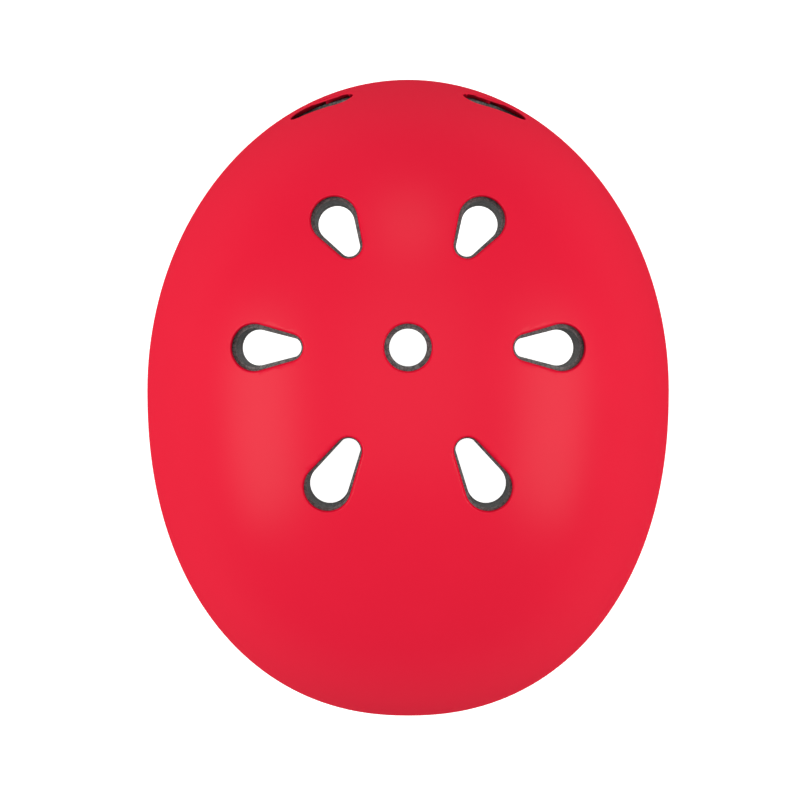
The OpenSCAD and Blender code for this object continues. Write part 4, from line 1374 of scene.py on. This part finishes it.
def grained_black_plastic():
    """Moulded plastic with a spark-eroded grain, polished a little where it is handled."""
    material, tree, shader, place = new_material("black_plastic", (0.022, 0.022, 0.024), 0.42)
    handled = add_noise(tree, place, 70, 3)
    feed(tree, shader, {
        "Base Color": add_ramp(tree, handled, 0.3, 0.7, (0.018, 0.018, 0.02), (0.028, 0.028, 0.03)),
        "Roughness": add_range(tree, handled, 0.34, 0.52),
    })
    grain = {"Vector": place, "Scale": 2600}
    add_bump(tree, shader, add_node(tree, "ShaderNodeTexVoronoi", grain, "Distance"), 0.22, 0.00012)
    return material


def turned_steel():
    """Bright steel with fine turning marks and a little dirt."""
    material, tree, shader, place = new_material("bright_steel", (0.6, 0.6, 0.62), 0.28)
    squeeze = {"Vector": place, "Scale": (1, 12, 1)}
    marks = add_noise(tree, add_node(tree, "ShaderNodeMapping", squeeze, "Vector"), 900, 3)
    feed(tree, shader, {
        "Base Color": add_ramp(tree, marks, 0.25, 0.7, (0.42, 0.42, 0.44), (0.68, 0.68, 0.7)),
        "Metallic": 1,
        "Roughness": add_range(tree, marks, 0.2, 0.42),
    })
    add_bump(tree, shader, marks, 0.15, 0.00005)
    return material


def plain_finish(name, colour, roughness, grain_scale, grain):
    """A moulded finish with a fine grain."""
    material, tree, shader, place = new_material(name, colour, roughness)
    noise = add_noise(tree, place, grain_scale, 3)
    dark = [c * 0.85 for c in colour]
    light = [min(1, c * 1.15) for c in colour]
    feed(tree, shader, {"Base Color": add_ramp(tree, noise, 0.3, 0.7, dark, light)})
    add_bump(tree, shader, noise, grain, 0.0001)
    return material


FINISHES = {
    "shell_red": red_shell_plastic(),
    "liner_foam": grey_bead_foam(),
    "black_rubber": soft_trim_rubber(),
    "pad_fabric": knitted_pad_cloth(),
    "hook_tape": plain_finish("hook_tape", (0.015, 0.015, 0.017), 0.9, 3000, 0.9),
    "pale_plastic": plain_finish("pale_plastic", (0.6, 0.6, 0.58), 0.4, 1500, 0.1),
    "black_plastic": grained_black_plastic(),
    "bright_steel": turned_steel(),
    "webbing": woven_webbing(),
    "sewing_thread": plain_finish("sewing_thread", (0.07, 0.07, 0.075), 0.7, 3000, 0.5),
}

# The CAD nodes that stay in view; those not listed are black plastic
CAD_SLOTS = {
    "hook_dots": "hook_tape",
    "pinion": "pale_plastic",
    "click_ring": "pale_plastic",
    "housing_screws": "bright_steel",
    "knob_screw": "bright_steel",
    "divider_pins": "bright_steel",
}


def finish_cad_nodes():
    for name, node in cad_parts.items():
        node.data.materials.clear()
        node.data.materials.append(FINISHES[CAD_SLOTS.get(name, "black_plastic")])


# Studio

LAMP_COLOUR = (1, 0.94, 0.84)
SKY_LIGHT = 0.56
FLOOR_GREY = 0.7
FLOOR_GLOW = 0.85
# How much of the white that the camera sees is seen in reflections
MIRRORED_SHARE = 0.5
CAMERA_HEIGHT = 0.95
CAMERA_LENS = 108.2
# Where the camera looks, so that the helmet lies in the picture as in the photo
CAMERA_AIM = Vector((3.16, 0.75, 0)) * MM


def light_panel(name, place, size, power):
    """A soft lamp that faces the helmet."""
    lamp = bpy.data.lights.new(name, "AREA")
    lamp.color = LAMP_COLOUR
    lamp.shape = "RECTANGLE"
    lamp.size, lamp.size_y = size
    lamp.energy = power
    panel = new_object(name, lamp)
    panel.location = place
    panel.rotation_mode = "QUATERNION"
    panel.rotation_quaternion = (-Vector(place)).to_track_quat("-Z", "Y")


def white_for_camera(tree, strength):
    """A light that the camera sees, that reflections and clear things see more weakly, and nothing else."""
    path = tree.nodes.new("ShaderNodeLightPath").outputs
    mirrored = add_math(tree, "MAXIMUM", path["Is Glossy Ray"], path["Is Transmission Ray"])
    softened = add_math(tree, "MULTIPLY", mirrored, MIRRORED_SHARE)
    seen = add_math(tree, "MAXIMUM", path["Is Camera Ray"], softened)
    return add_math(tree, "MULTIPLY", seen, strength)


def make_studio():
    scene = bpy.context.scene
    scene.view_settings.view_transform = "Standard"
    scene.world = bpy.data.worlds.new("studio")
    scene.world.use_nodes = True
    tree = scene.world.node_tree
    camera_ray = tree.nodes.new("ShaderNodeLightPath").outputs["Is Camera Ray"]
    sky = {"Color": (1, 1, 1, 1), "Strength": add_range(tree, camera_ray, SKY_LIGHT, 1.0)}
    feed(tree, tree.nodes["Background"], sky)

    bpy.ops.mesh.primitive_plane_add(size=6, location=(0, 0, cad_box[0].z - 2 * MM))
    floor = bpy.context.object
    floor.name = "floor"
    material, tree, shader, _ = new_material("floor", [FLOOR_GREY] * 3, 0.9)
    glow = {"Emission Color": (1, 1, 1, 1), "Emission Strength": white_for_camera(tree, FLOOR_GLOW)}
    feed(tree, shader, glow)
    floor.data.materials.append(material)

    light_panel("left_panel", (0.85, 0.08, 0.45), (0.8, 0.5), 3.2)
    light_panel("right_panel", (-0.85, 0.08, 0.47), (0.8, 0.5), 3)
    light_panel("top_panel", (0, -0.1, 1.4), (1.4, 1.4), 3.5)
    light_panel("front_panel", (0, -0.9, 0.7), (0.4, 0.4), 0.9)


def make_camera():
    """Above the crown vent, with the brow at the top of the picture."""
    data = bpy.data.cameras.new("camera")
    camera = new_object("camera", data)
    bpy.context.scene.camera = camera
    data.sensor_width = 36
    data.lens = CAMERA_LENS
    camera.location = (0, -VENTS_AHEAD, CAMERA_HEIGHT)
    back = (camera.location - CAMERA_AIM).normalized()
    right = (-BACKWARDS).cross(back).normalized()
    camera.rotation_mode = "QUATERNION"
    camera.rotation_quaternion = axes(right, back.cross(right), back).to_quaternion()


make_camera()
make_studio()
finish_cad_nodes()
make_shell()
make_liner()
make_edge_trim()
make_head_ring()
make_side_arm(1)
make_side_arm(-1)
make_housing()
make_dial_knob()
make_straps()
make_hardware()
make_keeper()
make_buckle()
make_brow_pad()
make_crown_pads()
make_side_pads()
make_cradle_pad()
make_chin_sleeve()
